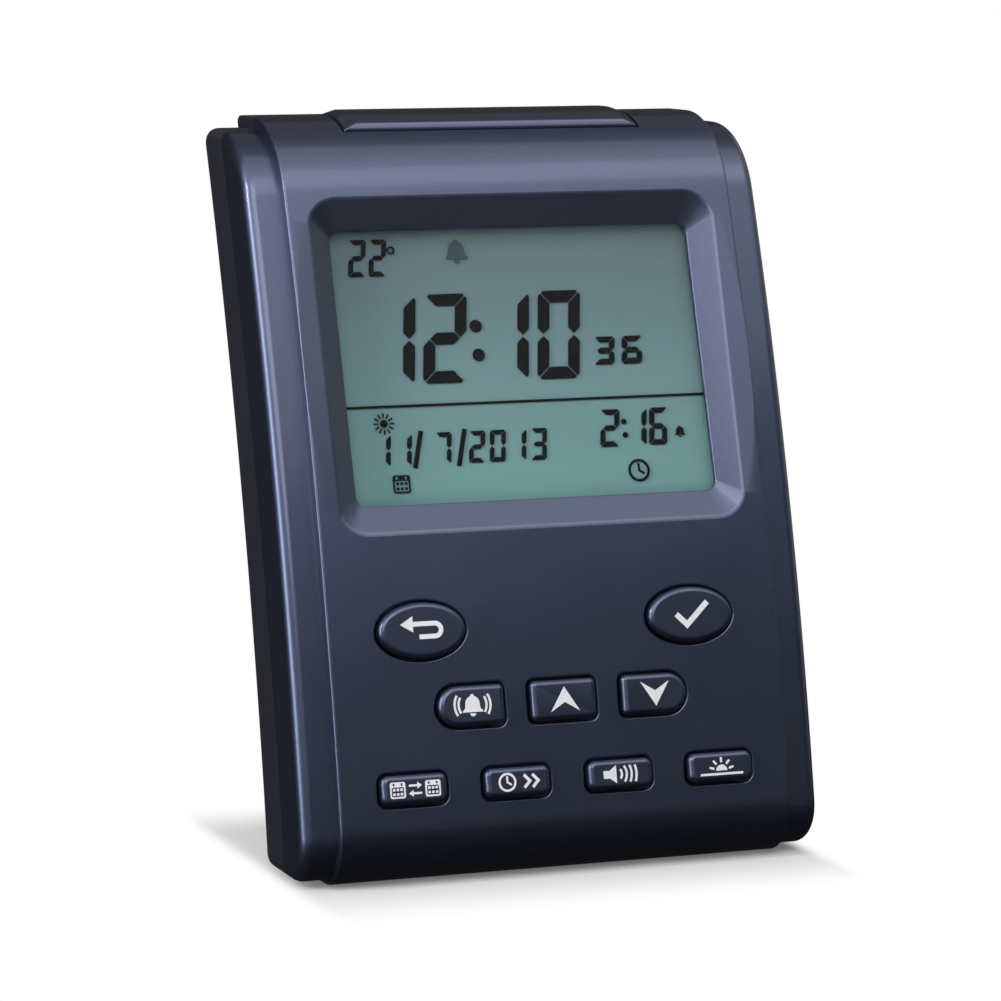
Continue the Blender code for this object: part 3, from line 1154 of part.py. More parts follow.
def stand_leg():
    """Two arms joined at the foot, with stub pins; it stands open, its heels against the channel floor."""
    frame = pivot_frame(-LEG_REST)
    half_in = LEG_INNER / 2
    half_out = LEG_OUTER / 2
    half_t = LEG_THICKNESS / 2
    foot = -LEG_LENGTH
    outline = [(-half_out, LEG_HEEL), (-half_in, LEG_HEEL), (-half_in, foot + LEG_FOOT_HEIGHT),
               (half_in, foot + LEG_FOOT_HEIGHT), (half_in, LEG_HEEL), (half_out, LEG_HEEL),
               (half_out, foot), (-half_out, foot)]
    leg = place(plate(outline, -half_t, half_t), "stand_leg", REAR_PLASTIC, frame)
    bevel(leg, LEG_EDGE, 2)
    stop = LEG_THICKNESS / 2
    change(leg, box((-LEG_OUTER, -LEG_LENGTH, stop), (LEG_OUTER, LEG_LENGTH, stop + OVERRUN)), "DIFFERENCE",
           pivot_frame(FOLDED_LEAN))
    for side in (-1, 1):
        ends = sorted((side * (half_out - half_t), side * (half_out + PIN_LENGTH)))
        pin = cylinder(PIN_RADIUS, ends[0], ends[1], 12)
        change(leg, pin, "UNION", frame @ Matrix.Rotation(math.pi / 2, 4, "Y"))
    return leg


def case_screws():
    stations = [(side * CASE_SCREW_X, z) for z in CASE_SCREW_Z for side in (-1, 1)]
    for number, (x, z) in enumerate(stations, 1):
        screw(f"case_screw_{number}", screw_frame(x, z), CASE_SCREW_RADIUS, CASE_SCREW_HEAD_RADIUS,
              CASE_SCREW_HEAD, -POST_FLOOR - SEAT, CASE_SCREW_BITE, 10)


def lcd_flex():
    """The foil lies on the front of the display's ledge and on the front of the main board."""
    ledge_level = REAR_GLASS_FRONT + SEAT
    board_level = BOARD_FRONT + SEAT
    path = [DISPLAY @ Vector((0, LEDGE_V + FLEX_LAP, ledge_level)),
            DISPLAY @ Vector((0, LEDGE_V, ledge_level)),
            KEYS @ Vector((0, BOARD_TOP_V, board_level)),
            KEYS @ Vector((0, BOARD_TOP_V - FLEX_LAP, board_level))]
    back = [(point.y, point.z) for point in path]
    front = [(y - FLEX_THICKNESS, z) for y, z in back]
    place(side_prism(back + front[::-1], FLEX_WIDTH / 2), "lcd_flex", FOIL, SIDEWAYS)


def wire(name, finish, path):
    """A round wire along a path of points, with each corner of the path cut off."""
    eased = [path[0]]
    for before, corner, after in zip(path, path[1:], path[2:]):
        eased += [corner + (before - corner).normalized() * WIRE_BEND,
                  corner + (after - corner).normalized() * WIRE_BEND]
    eased.append(path[-1])
    heading = (eased[1] - eased[0]).normalized()
    across = heading.orthogonal().normalized() * WIRE_RADIUS
    turns = [2 * math.pi * i / WIRE_SIDES for i in range(WIRE_SIDES)]
    rings = []
    for behind, point, ahead in zip(eased[:1] + eased, eased, eased[1:] + eased[-1:]):
        onward = (ahead - behind).normalized()
        across.rotate(heading.rotation_difference(onward))
        heading = onward
        beside = heading.cross(across)
        rings.append([point + math.cos(t) * across + math.sin(t) * beside for t in turns])
    smooth(place(loft(rings), name, finish, Matrix.Identity(4)), 50)


def wires():
    """A red and a black wire each for the cells, the speaker and the switch under the push bar."""
    end_level = BOARD_BACK - SEAT
    run_level = end_level - WIRE_LIFT + SEAT
    start_level = CONTACT_TOP + SEAT
    names = (("wire_bay_black", BLACK_WIRE), ("wire_bay_red", RED_WIRE))
    for (name, finish), (x, v), end_x in zip(names, bay_wire_stations(), BAY_WIRE_X[::-1]):
        end_v = BOARD_TOP_V - BAY_WIRE_DROP
        path = [(x, v, start_level), (x, v, run_level), (end_x, end_v, run_level), (end_x, end_v, end_level)]
        wire(name, finish, [KEYS @ Vector(point) for point in path])
    board_v = BOARD_TOP_V - BOARD_WIRE_DROP
    lift_level = end_level - BOARD_WIRE_LIFT
    flange = WALL + SEAT + SPEAKER_FLANGE + SEAT
    clear = WALL + SPEAKER_RING_HEIGHT + WIRE_LIFT
    outside = -SPEAKER_RADIUS - 2 * WIRE_LIFT
    names = (("wire_speaker_red", RED_WIRE), ("wire_speaker_black", BLACK_WIRE))
    for (name, finish), x in zip(names, SPEAKER_WIRE_X):
        path = [SPEAKER @ Vector((x, SPEAKER_WIRE_V, flange)), SPEAKER @ Vector((x, SPEAKER_WIRE_V, clear)),
                SPEAKER @ Vector((x, outside, clear)), KEYS @ Vector((x, board_v, lift_level)),
                KEYS @ Vector((x, board_v, end_level))]
        wire(name, finish, path)
    start_y = SNOOZE_BOARD_BACK_Y - SNOOZE_BOARD_SIZE[1] - SEAT
    start_z = SNOOZE_BOARD_Z + 2 * WIRE_RADIUS
    upper_z = SNOOZE_BOARD_Z - SWITCH_WIRE_SLOPE
    lower_z = DISPLAY_Z - STACK_HEIGHT / 2 + GLASS_LAP
    names = (("wire_switch_red", RED_WIRE), ("wire_switch_black", BLACK_WIRE))
    for (name, finish), x, drop_x in zip(names, SWITCH_WIRE_X, SWITCH_WIRE_DROP_X):
        path = [Vector((x, start_y, start_z)), Vector((x, start_y - WIRE_LIFT, start_z)),
                Vector((drop_x, face_y(upper_z, SWITCH_WIRE_DEPTH), upper_z)),
                Vector((drop_x, face_y(lower_z, SWITCH_WIRE_DEPTH), lower_z)),
                KEYS @ Vector((drop_x, board_v, lift_level)), KEYS @ Vector((drop_x, board_v, end_level))]
        wire(name, finish, path)


front_case()
rear_cover()
keys()
display_stack()
keypad()
board_parts()
snooze()
speaker()
batteries()
battery_door()
stand_leg()
case_screws()
lcd_flex()
wires()
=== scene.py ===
"""Looks of the leaning table clock: fine shells, keys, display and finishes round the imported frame."""
import json
from math import acos, asin, atan2, cos, degrees, exp, hypot, log, pi, radians, sin, sqrt

import bmesh
import bpy
from mathutils import Matrix, Vector

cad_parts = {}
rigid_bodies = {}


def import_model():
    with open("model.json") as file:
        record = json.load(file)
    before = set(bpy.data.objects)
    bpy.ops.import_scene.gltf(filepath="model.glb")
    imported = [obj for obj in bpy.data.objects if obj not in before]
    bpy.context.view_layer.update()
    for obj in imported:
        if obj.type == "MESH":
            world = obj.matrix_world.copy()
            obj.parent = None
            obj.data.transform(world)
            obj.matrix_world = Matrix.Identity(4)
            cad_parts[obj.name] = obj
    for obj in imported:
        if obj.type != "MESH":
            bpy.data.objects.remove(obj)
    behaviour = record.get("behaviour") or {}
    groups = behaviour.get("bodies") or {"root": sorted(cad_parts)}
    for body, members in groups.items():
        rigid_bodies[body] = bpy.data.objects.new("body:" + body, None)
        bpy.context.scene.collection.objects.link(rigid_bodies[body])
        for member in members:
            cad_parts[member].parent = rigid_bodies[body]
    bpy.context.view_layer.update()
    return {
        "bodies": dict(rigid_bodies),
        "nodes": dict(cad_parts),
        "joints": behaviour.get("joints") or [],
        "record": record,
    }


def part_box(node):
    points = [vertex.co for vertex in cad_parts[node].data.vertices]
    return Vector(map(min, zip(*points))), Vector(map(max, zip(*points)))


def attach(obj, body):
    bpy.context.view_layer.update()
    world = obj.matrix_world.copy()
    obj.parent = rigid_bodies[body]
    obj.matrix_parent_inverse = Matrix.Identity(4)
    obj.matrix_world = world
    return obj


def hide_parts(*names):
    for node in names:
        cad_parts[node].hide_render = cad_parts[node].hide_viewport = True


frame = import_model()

nodes = frame["nodes"]

MM = 0.001


def mm(*sizes):
    return tuple(size * MM for size in sizes)


# Case: the sizes of the moulding, with its width and height read from the frame
CASE_LOW, CASE_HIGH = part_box("front_case")
CASE_WIDTH = CASE_HIGH.x - CASE_LOW.x
CASE_HEIGHT = CASE_HIGH.z
CASE_DEPTH = 25.3 * MM
SEAM_DEPTH = 13.3 * MM
SEAM_ROUND = 0.35 * MM
SEAM_REACH = 30.0 * MM
FACE_RADIUS = 620.0 * MM
FACE_BASE_LEAN = radians(9.0)
TOP_SHOULDER = 20.0 * MM
BOTTOM_SHOULDER = 10.0 * MM
BACK_EDGE = 2.7 * MM
WALL = 2.2 * MM
INNER_CORNER = 0.6 * MM
RAIL_WIDTH = 6.6 * MM
BAND_WIDTH = CASE_WIDTH - 2 * RAIL_WIDTH
BAND_STEP = 2.2 * MM
FOOT_STEP = 1.0 * MM
BAND_BACK_STEP = 1.5 * MM
BAND_EDGE = 0.5 * MM
RAIL_EDGE = 2.2 * MM
ARC_Y = FACE_RADIUS * cos(FACE_BASE_LEAN)
ARC_Z = -FACE_RADIUS * sin(FACE_BASE_LEAN)

# Display window and what lies behind it
DISPLAY_Z = 91.5 * MM
DISPLAY_EXTRA_LEAN = radians(0.3)
RECESS_SIZE = mm(80.4, 64.9, 6.2)
VIEW_SIZE = mm(69.8, 50.6, 2.0)
VIEW_RISE = 0.4 * MM
RECESS_DEPTH = 3.3 * MM
FUNNEL_LENGTH = 0.8 * MM
FUNNEL_WALL = 1.8 * MM
FUNNEL_ROOT = 2.0 * MM
MOUTH_ROUND = 0.55 * MM
MOUTH_SEARCH = 0.45
VIEW_ROUND = 0.25 * MM
LENS_THICKNESS = 1.0 * MM
PRINT_THICKNESS = 0.03 * MM
LCD_GAP = 0.08 * MM

# Keys
KEY_PANEL_Z = 32.0 * MM
KEY_RISE = 1.3 * MM
KEY_EDGE = 1.0 * MM
KEY_FLANGE = 0.8 * MM
KEY_FLANGE_THICKNESS = 0.6 * MM
KEY_GAP = 0.4 * MM
OVAL_SIZE = mm(17.2, 10.8)
ARROW_SIZE = mm(13.3, 8.0)
ARROW_CORNER = 1.4 * MM
SMALL_SIZE = mm(13.2, 6.1)
SMALL_CORNER = 1.8 * MM
RIM_ROUND = 0.5 * MM

# Push bar
BAR_HALF = 28.8 * MM
SHOULDER_Z = CASE_HEIGHT - TOP_SHOULDER
SHOULDER_Y = ARC_Y - sqrt((FACE_RADIUS - TOP_SHOULDER) ** 2 - (SHOULDER_Z - ARC_Z) ** 2)
BAR_FRONT_Y = SHOULDER_Y - 9.4 * MM
BAR_BACK_Y = SHOULDER_Y + 4.4 * MM
BAR_SKIRT_Z = CASE_HEIGHT - 6.5 * MM
BAR_RISE = 1.0 * MM
BAR_LIP = 0.1 * MM
BAR_END_SLOPE = 2.4 * MM
BAR_WALL = 1.8 * MM
BAR_EDGE = 0.35 * MM
BAR_END_REACH = 4.4 * MM
BAR_CREST_SOFTNESS = 0.05 * MM

# Screws, bosses and posts
CASE_SCREW_X = 41.0 * MM
CASE_SCREW_Z = (8.0 * MM, CASE_HEIGHT - 13.0 * MM)
CASE_SCREW_RADIUS = 1.3 * MM
CASE_SCREW_HEAD_RADIUS = 2.6 * MM
CASE_SCREW_HEAD = 1.8 * MM
CASE_SCREW_BITE = 6.4 * MM
POST_RADIUS = 3.6 * MM
POST_FLOOR = 2.4 * MM
TAPPER = mm(0.9, 1.9, 1.1)
TAPPER_BITE = 3.4 * MM
BOARD_BOSS_RADIUS = 2.0 * MM
BOSS_REACH = 30.0 * MM
BOARD_THICKNESS = 1.6 * MM
SEAT = 0.3 * MM

# Speaker, battery bay and stand leg on the back
SPEAKER_Z = 88.0 * MM
SPEAKER_RING = mm(18.4, 19.8, 2.6)
GRILLE_RADIUS = 14.5 * MM
GRILLE_SLOT = 1.8 * MM
GRILLE_PITCH = 3.6 * MM
GRILLE_SLOTS = 7
GRILLE_CORNER = 0.85 * MM
BAY_V = -4.0 * MM
BAY_HALF = mm(24.1, 11.1)
BAY_WALL = 1.2 * MM
BAY_FLOOR_RISE = 12.7 * MM
DOOR_THICKNESS = 1.5 * MM
DOOR_LAP = 2.4 * MM
DOOR_CORNER = 2.0 * MM
DOOR_LEDGE = 1.2 * MM
DOOR_HOOK_X = 15.0 * MM
DOOR_HOOK_WIDTH = 5.0 * MM
DOOR_HOOK_LENGTH = 1.3 * MM
DOOR_HOOK_THICKNESS = 0.6 * MM
DOOR_EDGE = 0.3 * MM
LEG_PIVOT_Z = 62.0 * MM
LEG_PIVOT_SINK = 2.1 * MM
LEG_LENGTH = 63.0 * MM
LEG_INNER = 60.0 * MM
LEG_ARM_WIDTH = 6.0 * MM
LEG_THICKNESS = 3.2 * MM
LEG_FOOT_HEIGHT = 7.0 * MM
LEG_HEEL = 4.0 * MM
LEG_EDGE = 0.8 * MM
PIN_RADIUS = 1.3 * MM
PIN_LENGTH = 1.6 * MM
PIN_PLAY = 0.3 * MM
CHANNEL_FLOOR = 1.6 * MM
CHANNEL_PLAY = 0.5 * MM

# Small features: the bar's tabs and rib, the cells, and the shapes of the door's grooves and the slots,
# each as levels with how far the outline is drawn out there
BAR_TAB = mm(2.0, 2.8, 1.3)
BAR_RIB = 4.0 * MM
CELL_RADIUS = 5.25 * MM
CELL_NUB_RADIUS = 1.9 * MM
CELL_NUB_LENGTH = 0.9 * MM
CELL_ROUND = 0.5 * MM
CELL_NUB_ROUND = 0.25 * MM
CELL_BASE_RADIUS = 3.78 * MM
CELL_BASE_SINK = 0.15 * MM
CELL_BASE_LIP = 3.885 * MM
CELL_TOP_RADIUS = 3.99 * MM
CELL_TOP_SINK = 0.2 * MM
CELL_TOP_LIP = 4.095 * MM
CELL_NUB_FOOT = 2.4 * MM
DOOR_GROOVES = 4
DOOR_GROOVE_PITCH = 1.4 * MM
DOOR_LATCH = 9.0 * MM
DOOR_GROOVE_SHAPE = (mm(-4.0, 0.5), mm(-0.02, 0.12), mm(0.1, 0.0), mm(0.3, -0.05))
GRILLE_SHAPE = (mm(-4.0, 1.2), mm(-0.25, 0.25), mm(0.0, 0.08), mm(0.3, 0.0), (WALL + 0.5 * MM, 0.0))

# Display. A row of numbers has the x of its left edge at half height, the y of its foot, then the
# width, height and bar thickness of a number and the step from one to the next
LCD_SLANT = 0.12
MARKS_SHIFT = Matrix.Translation((-1.1 * MM, -0.45 * MM, 0.0))
TEMPERATURE = mm(-29.8, 18.1, 3.3, 6.9, 0.95, 3.9)
DEGREE = mm(-21.6, 22.9)
HOURS = mm(-27.0, -2.1, 8.3, 16.6, 2.3, 9.9)
MINUTES = mm(-4.9, -2.1, 8.3, 16.6, 2.3, 10.0)
COLON = (-6.8 * MM, mm(2.9, 8.3), 1.2 * MM)
SECONDS = mm(15.8, 0.2, 4.1, 5.3, 1.15, 5.5)
DAY = mm(-28.7, -17.0, 3.1, 5.9, 0.9, 4.0)
MONTH = mm(-17.1, -17.0, 3.1, 5.9, 0.9, 4.0)
YEAR = mm(-10.6, -17.0, 3.1, 5.9, 0.9, 4.0)
DATE_STROKES = mm(-20.4, -12.0)
DATE_STROKE_LEAN = 0.9 * MM
NEXT_HOUR = mm(15.3, -15.2, 3.8, 7.0, 1.05, 4.0)
NEXT_MINUTES = mm(20.9, -15.2, 3.6, 7.0, 1.05, 4.1)
NEXT_COLON = (20.1 * MM, mm(-13.1, -10.6), 0.55 * MM)
DIVIDER_AT = mm(1.1, -6.0)
DIVIDER_THICKNESS = 0.5 * MM
SUN_AT = mm(-26.4, -9.1)
SMALL_BELL = (31.0 * MM, -12.9 * MM, 0.55)
SMALL_LEAF = (-24.2 * MM, -20.3 * MM, 1.15)
SMALL_DIAL = (22.0 * MM, -19.8 * MM, 1.25)
FAINT_BELL = (-9.0 * MM, 22.3 * MM, 1.15)

# Studio and the photograph's camera
FLOOR_HALF = 3.0
FLOOR_DROP = 0.0001
FOOTPRINT = (0.047, 0.027, 1.0)
FLOOR_GLOW = 0.12
FLOOR_FADE = (0.005, 0.026, 1.0)
WORLD_LIGHT = 0.3
SEEN_RAYS = ("Is Camera Ray", "Is Glossy Ray", "Is Transmission Ray")
FLAG_FOOT = 0.0003
CAMERA_LENS = 153.27
CAMERA_AT = (-0.27641, -0.72784, 0.16916)
CAMERA_AIM = (0.34919, 0.92756, -0.13304)

# Fineness of the curved surfaces, and how far a cutter runs past what it cuts
FACE_STEPS = 72
SHOULDER_STEPS = 28
EDGE_STEPS = 6
CORNER_STEPS = 10
ROUND_STEPS = 48
BAR_STEPS = 14
OVERRUN = 4.0 * MM

MIDDLE_Y = BAR_BACK_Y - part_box("snooze_bar")[1].y
TO_ORIGIN = Matrix.Translation((0, -MIDDLE_Y, 0))


def lean_at(z):
    return asin((z - ARC_Z) / FACE_RADIUS)


def face_y(z, depth=0.0):
    """Where a surface that lies level behind the face stands at a height."""
    return ARC_Y - FACE_RADIUS * cos(lean_at(z)) + depth


def tilted(y, z, lean, x=0.0):
    """Frame on a leaning surface: X right, Y up along it, Z out of it."""
    return Matrix.Translation((x, y, z)) @ Matrix.Rotation(pi / 2 - lean, 4, "X")


DISPLAY = tilted(face_y(DISPLAY_Z), DISPLAY_Z, lean_at(DISPLAY_Z) + DISPLAY_EXTRA_LEAN)
KEYS = tilted(face_y(KEY_PANEL_Z), KEY_PANEL_Z, lean_at(KEY_PANEL_Z))
SPEAKER = tilted(face_y(SPEAKER_Z, CASE_DEPTH), SPEAKER_Z, lean_at(SPEAKER_Z))
KEY_LEAN = lean_at(KEY_PANEL_Z)
CASE_SLOPE = lean_at(CASE_HEIGHT / 2)


def spread(count, start, end):
    return [start + (end - start) * i / (count - 1) for i in range(count)]


def halved(low, high, steps, short):
    """The place between two values where a test turns false, found by halving."""
    for _ in range(steps):
        middle = (low + high) / 2
        if short(middle):
            low = middle
        else:
            high = middle
    return (low + high) / 2


def edge_round(radius, turns):
    """How far a rounded edge stands in from the side and down from the top, at each turn."""
    return [(radius * (1 - cos(t)), radius * (1 - sin(t))) for t in turns]


QUARTER = spread(EDGE_STEPS + 1, 0.0, pi / 2)


def arc(centre, radius, start, end, steps):
    """Points round a centre; angle 0 points forwards and a quarter turn points up."""
    cy, cz = centre
    return [(cy - radius * cos(t), cz + radius * sin(t)) for t in spread(steps + 1, start, end)]


def bow(radius, start, end, x=0.0, y=0.0, steps=24):
    """Points round a place from one angle in degrees to another."""
    turns = spread(steps + 1, radians(start), radians(end))
    return [(x + radius * cos(t), y + radius * sin(t)) for t in turns]


def circle(radius, x=0.0, y=0.0, steps=40):
    return bow(radius, 0, 360, x, y, steps)[:-1]


def rounded_rectangle(width, height, radius, steps=CORNER_STEPS):
    points = []
    for sx, sy, start in ((1, 1, 0), (-1, 1, 90), (-1, -1, 180), (1, -1, 270)):
        points += bow(radius, start, start + 90, sx * (width / 2 - radius), sy * (height / 2 - radius), steps)
    return points


def one_round_end(width, height, radius, side):
    """An outline whose end on one side is a half circle and whose other corners are small."""
    end = height / 2
    points = bow(end, -90, 90, width / 2 - end)
    for sy, start in ((1, 90), (-1, 180)):
        points += bow(radius, start, start + 90, radius - width / 2, sy * (height / 2 - radius), 8)
    return [(side * x, y) for x, y in points][::side]


def shifted(outline, dx, dy):
    return [(x + dx, y + dy) for x, y in outline]


def at_level(outline, z):
    return [(x, y, z) for x, y in outline]


# Mesh building
def new_object(name, data):
    obj = bpy.data.objects.new(name, data)
    bpy.context.scene.collection.objects.link(obj)
    return obj


def to_object(bm, matrix=None):
    """A bmesh as an object whose place is in its mesh, with faces pointing out."""
    bmesh.ops.recalc_face_normals(bm, faces=bm.faces)
    mesh = bpy.data.meshes.new("shape")
    bm.to_mesh(mesh)
    bm.free()
    if matrix is not None:
        mesh.transform(matrix)
    return new_object("shape", mesh)


def loft(rings, matrix=None):
    """A closed skin over rings of equal point counts, with a face at each end."""
    bm = bmesh.new()
    made = [[bm.verts.new(point) for point in ring] for ring in rings]
    count = len(made[0])
    for lower, upper in zip(made, made[1:]):
        for i in range(count):
            j = (i + 1) % count
            bm.faces.new((lower[i], lower[j], upper[j], upper[i]))
    bm.faces.new(made[0])
    bm.faces.new(made[-1])
    return to_object(bm, matrix)


def box(low, high, matrix=None):
    bm = bmesh.new()
    bmesh.ops.create_cube(bm, size=1.0)
    bmesh.ops.scale(bm, vec=Vector(high) - Vector(low), verts=bm.verts)
    bmesh.ops.translate(bm, vec=(Vector(high) + Vector(low)) / 2, verts=bm.verts)
    return to_object(bm, matrix)


def rods(radius, low, high, matrix, segments=ROUND_STEPS, stations=((0, 0),)):
    """Round rods along a frame's Z, one at each station."""
    bm = bmesh.new()
    for x, y in stations:
        made = bmesh.ops.create_cone(bm, cap_ends=True, segments=segments, radius1=radius, radius2=radius,
                                     depth=high - low)
        bmesh.ops.translate(bm, vec=(x, y, (low + high) / 2), verts=made["verts"])
    return to_object(bm, matrix)


def turned(profile, segments=ROUND_STEPS):
    """An open profile of (radius, height) points, from axis to axis, turned about Z."""
    bm = bmesh.new()
    rings = []
    for radius, height in profile:
        points = circle(radius, steps=segments) if radius else [(0, 0)]
        rings.append([bm.verts.new((x, y, height)) for x, y in points])
    for lower, upper in zip(rings, rings[1:]):
        for i in range(segments):
            j = (i + 1) % segments
            corners = [ring[k % len(ring)] for ring, k in ((lower, i), (lower, j), (upper, j), (upper, i))]
            bm.faces.new(list(dict.fromkeys(corners)))
    return to_object(bm)


def joined(*objs):
    """Several loose shapes as one object."""
    bm = bmesh.new()
    for obj in objs:
        bm.from_mesh(obj.data)
        drop(obj)
    return to_object(bm)


def drop(obj):
    mesh = obj.data
    bpy.data.objects.remove(obj, do_unlink=True)
    if mesh.users == 0:
        bpy.data.meshes.remove(mesh)


def plain_mesh(obj):
    evaluated = obj.evaluated_get(bpy.context.evaluated_depsgraph_get())
    return bpy.data.meshes.new_from_object(evaluated)


def baked(obj):
    """The object with its modifiers applied, as a plain mesh."""
    old = obj.data
    mesh = plain_mesh(obj)
    obj.modifiers.clear()
    obj.data = mesh
    if old.users == 0:
        bpy.data.meshes.remove(old)
    return obj


def combined(target, operation, *tools):
    """Cuts, joins or trims a shape with others, one after another."""
    for tool in tools:
        modifier = target.modifiers.new(operation, "BOOLEAN")
        modifier.operation = operation
        modifier.solver = "EXACT"
        modifier.object = tool
    baked(target)
    for tool in tools:
        drop(tool)
    return target


def smoothed(obj, crease=32.0, weighted=True):
    """Smooth shading with sharp creases; large flat faces keep their own direction."""
    obj.data.shade_smooth()
    obj.data.set_sharp_from_angle(angle=radians(crease))
    if weighted:
        modifier = obj.modifiers.new("normals", "WEIGHTED_NORMAL")
        modifier.keep_sharp = True
        modifier.weight = 80
        baked(obj)
    return obj


def piece(obj, name, finish, slot, body, *replaced):
    """Names and finishes a piece, puts it in the frame's place and lets it ride."""
    obj.name = name
    obj.data.name = name
    obj.data.materials.clear()
    obj.data.materials.append(finish)
    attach(obj, body)
    if replaced:
        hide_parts(*replaced)
    return obj


def moved(obj, matrix=TO_ORIGIN):
    obj.data.transform(matrix)
    return obj


# Nodes
def feed(tree, socket, value):
    """Gives an input a plain value or another node's output."""
    if isinstance(value, bpy.types.NodeSocket):
        tree.links.new(value, socket)
    else:
        socket.default_value = value


def add(tree, kind, feeds, **settings):
    """A new node with its settings and its inputs; gives back its outputs."""
    made = tree.nodes.new(kind)
    for label, value in settings.items():
        setattr(made, label, value)
    for label, value in feeds.items():
        feed(tree, made.inputs[label], value)
    return made.outputs


def sockets_of(tree, inputs, outputs):
    """Makes a group's or tree's named sockets, and its nodes that give and take them."""
    for label, kind, default in inputs:
        socket = tree.interface.new_socket(name=label, in_out="INPUT", socket_type="NodeSocket" + kind)
        if default is not None:
            socket.default_value = default
    for label, kind in outputs:
        tree.interface.new_socket(name=label, in_out="OUTPUT", socket_type="NodeSocket" + kind)
    return tree, tree.nodes.new("NodeGroupInput").outputs, tree.nodes.new("NodeGroupOutput").inputs


def new_group(name, inputs, outputs):
    """A shader node group with float inputs and outputs."""
    group = bpy.data.node_groups.new(name, "ShaderNodeTree")
    given = [(label, "Float", default) for label, default in inputs.items()]
    return sockets_of(group, given, [(label, "Float") for label in outputs])


def object_place(tree):
    return tree.nodes.new("ShaderNodeTexCoord").outputs["Object"]


def apart(tree, vector):
    return add(tree, "ShaderNodeSeparateXYZ", {"Vector": vector})


def math_node(tree, operation, first, second):
    return add(tree, "ShaderNodeMath", {0: first, 1: second}, operation=operation)[0]


def noise(tree, scale, detail, roughness):
    feeds = {"Vector": object_place(tree), "Scale": scale, "Detail": detail, "Roughness": roughness}
    return add(tree, "ShaderNodeTexNoise", feeds)["Fac"]


def grain_group():
    """Fine moulded grain: a height and a mask that breaks up gloss, both about one half."""
    group, given, result = new_group("moulded_grain", {"Scale": 2500.0, "Mottle": 60.0}, ["Height", "Mask"])
    feed(group, result["Height"], noise(group, given["Scale"], 3.0, 0.6))
    feed(group, result["Mask"], noise(group, given["Mottle"], 4.0, 0.55))
    return group


def flake_group():
    """Metal flakes under clear coat: each tiny cell has its own brightness."""
    group, given, result = new_group("lacquer_flakes", {"Scale": 5500.0}, ["Sparkle"])
    cells = add(group, "ShaderNodeTexVoronoi", {"Vector": object_place(group), "Scale": given["Scale"]})
    feed(group, result["Sparkle"], add(group, "ShaderNodeRGBToBW", {"Color": cells["Color"]})["Val"])
    return group


def dust_group():
    """Dust and handling film: more on faces that look up, broken up by a slow noise."""
    group, given, result = new_group("dust_film", {"Amount": 0.5, "Scale": 180.0}, ["Mask"])
    facing = add(group, "ShaderNodeNewGeometry", {})["Normal"]
    up = math_node(group, "MAXIMUM", apart(group, facing)["Z"], 0.0)
    patches = noise(group, given["Scale"], 5.0, 0.65)
    spread_up = math_node(group, "MULTIPLY", math_node(group, "ADD", up, 0.25), patches)
    feed(group, result["Mask"], math_node(group, "MULTIPLY", spread_up, given["Amount"]))
    return group


GRAIN = grain_group()
FLAKES = flake_group()
DUST = dust_group()


def use_group(tree, group, **values):
    return add(tree, "ShaderNodeGroup", values, node_tree=group)


def new_material(name):
    made = bpy.data.materials.new(name)
    made.use_nodes = True
    tree = made.node_tree
    return made, tree, tree.nodes["Principled BSDF"]


def colour_mix(tree, share, first, second):
    """Mixes two colours, each a triple or a socket, by a share."""
    colours = [(*value, 1.0) if isinstance(value, tuple) else value for value in (first, second)]
    feeds = {"Factor": share, 6: colours[0], 7: colours[1]}
    return add(tree, "ShaderNodeMix", feeds, data_type="RGBA")[2]


def ranged(tree, value, low, high):
    """A value from 0 to 1 spread between two others."""
    return add(tree, "ShaderNodeMapRange", {"Value": value, "To Min": low, "To Max": high})["Result"]


def dress(tree, shader, colour, mask, gloss, **plain):
    """Feeds a shader its colour, its gloss over a mask, and its plain values."""
    feed(tree, shader.inputs["Base Color"], colour)
    feed(tree, shader.inputs["Roughness"], ranged(tree, mask, *gloss))
    for label, value in plain.items():
        shader.inputs[label.replace("_", " ")].default_value = value


def bump(tree, shader, height, strength, distance):
    feeds = {"Strength": strength, "Distance": distance, "Height": height}
    feed(tree, shader.inputs["Normal"], add(tree, "ShaderNodeBump", feeds)["Normal"])


def mixed_end(tree, out, share, first, second):
    """Ends a material or the world in a mix of two shaders."""
    mix = add(tree, "ShaderNodeMixShader", {0: share, 1: first, 2: second})
    feed(tree, out.inputs["Surface"], mix[0])


def any_ray(tree, first, *others):
    """1 on rays of any of these kinds, else 0."""
    rays = tree.nodes.new("ShaderNodeLightPath").outputs
    share = rays[first]
    for kind in others:
        share = math_node(tree, "MAXIMUM", share, rays[kind])
    return share


def plastic(name, dark, light, gloss, grain_scale=2500.0, depth=0.02 * MM, dust=0.3, **plain):
    """Moulded plastic: two close tones, a gloss range, fine grain and a film of dust."""
    made, tree, shader = new_material(name)
    grain = use_group(tree, GRAIN, Scale=grain_scale)
    tone = colour_mix(tree, grain["Mask"], dark, light)
    dusty = colour_mix(tree, use_group(tree, DUST, Amount=dust)["Mask"], tone, PALE_DUST)
    dress(tree, shader, dusty, grain["Mask"], gloss, **plain)
    bump(tree, shader, grain["Height"], 0.5, depth)
    return made


def metal(name, dark, light, gloss):
    return plastic(name, dark, light, gloss, 1500.0, 0.006 * MM, 0.1, Metallic=1.0)


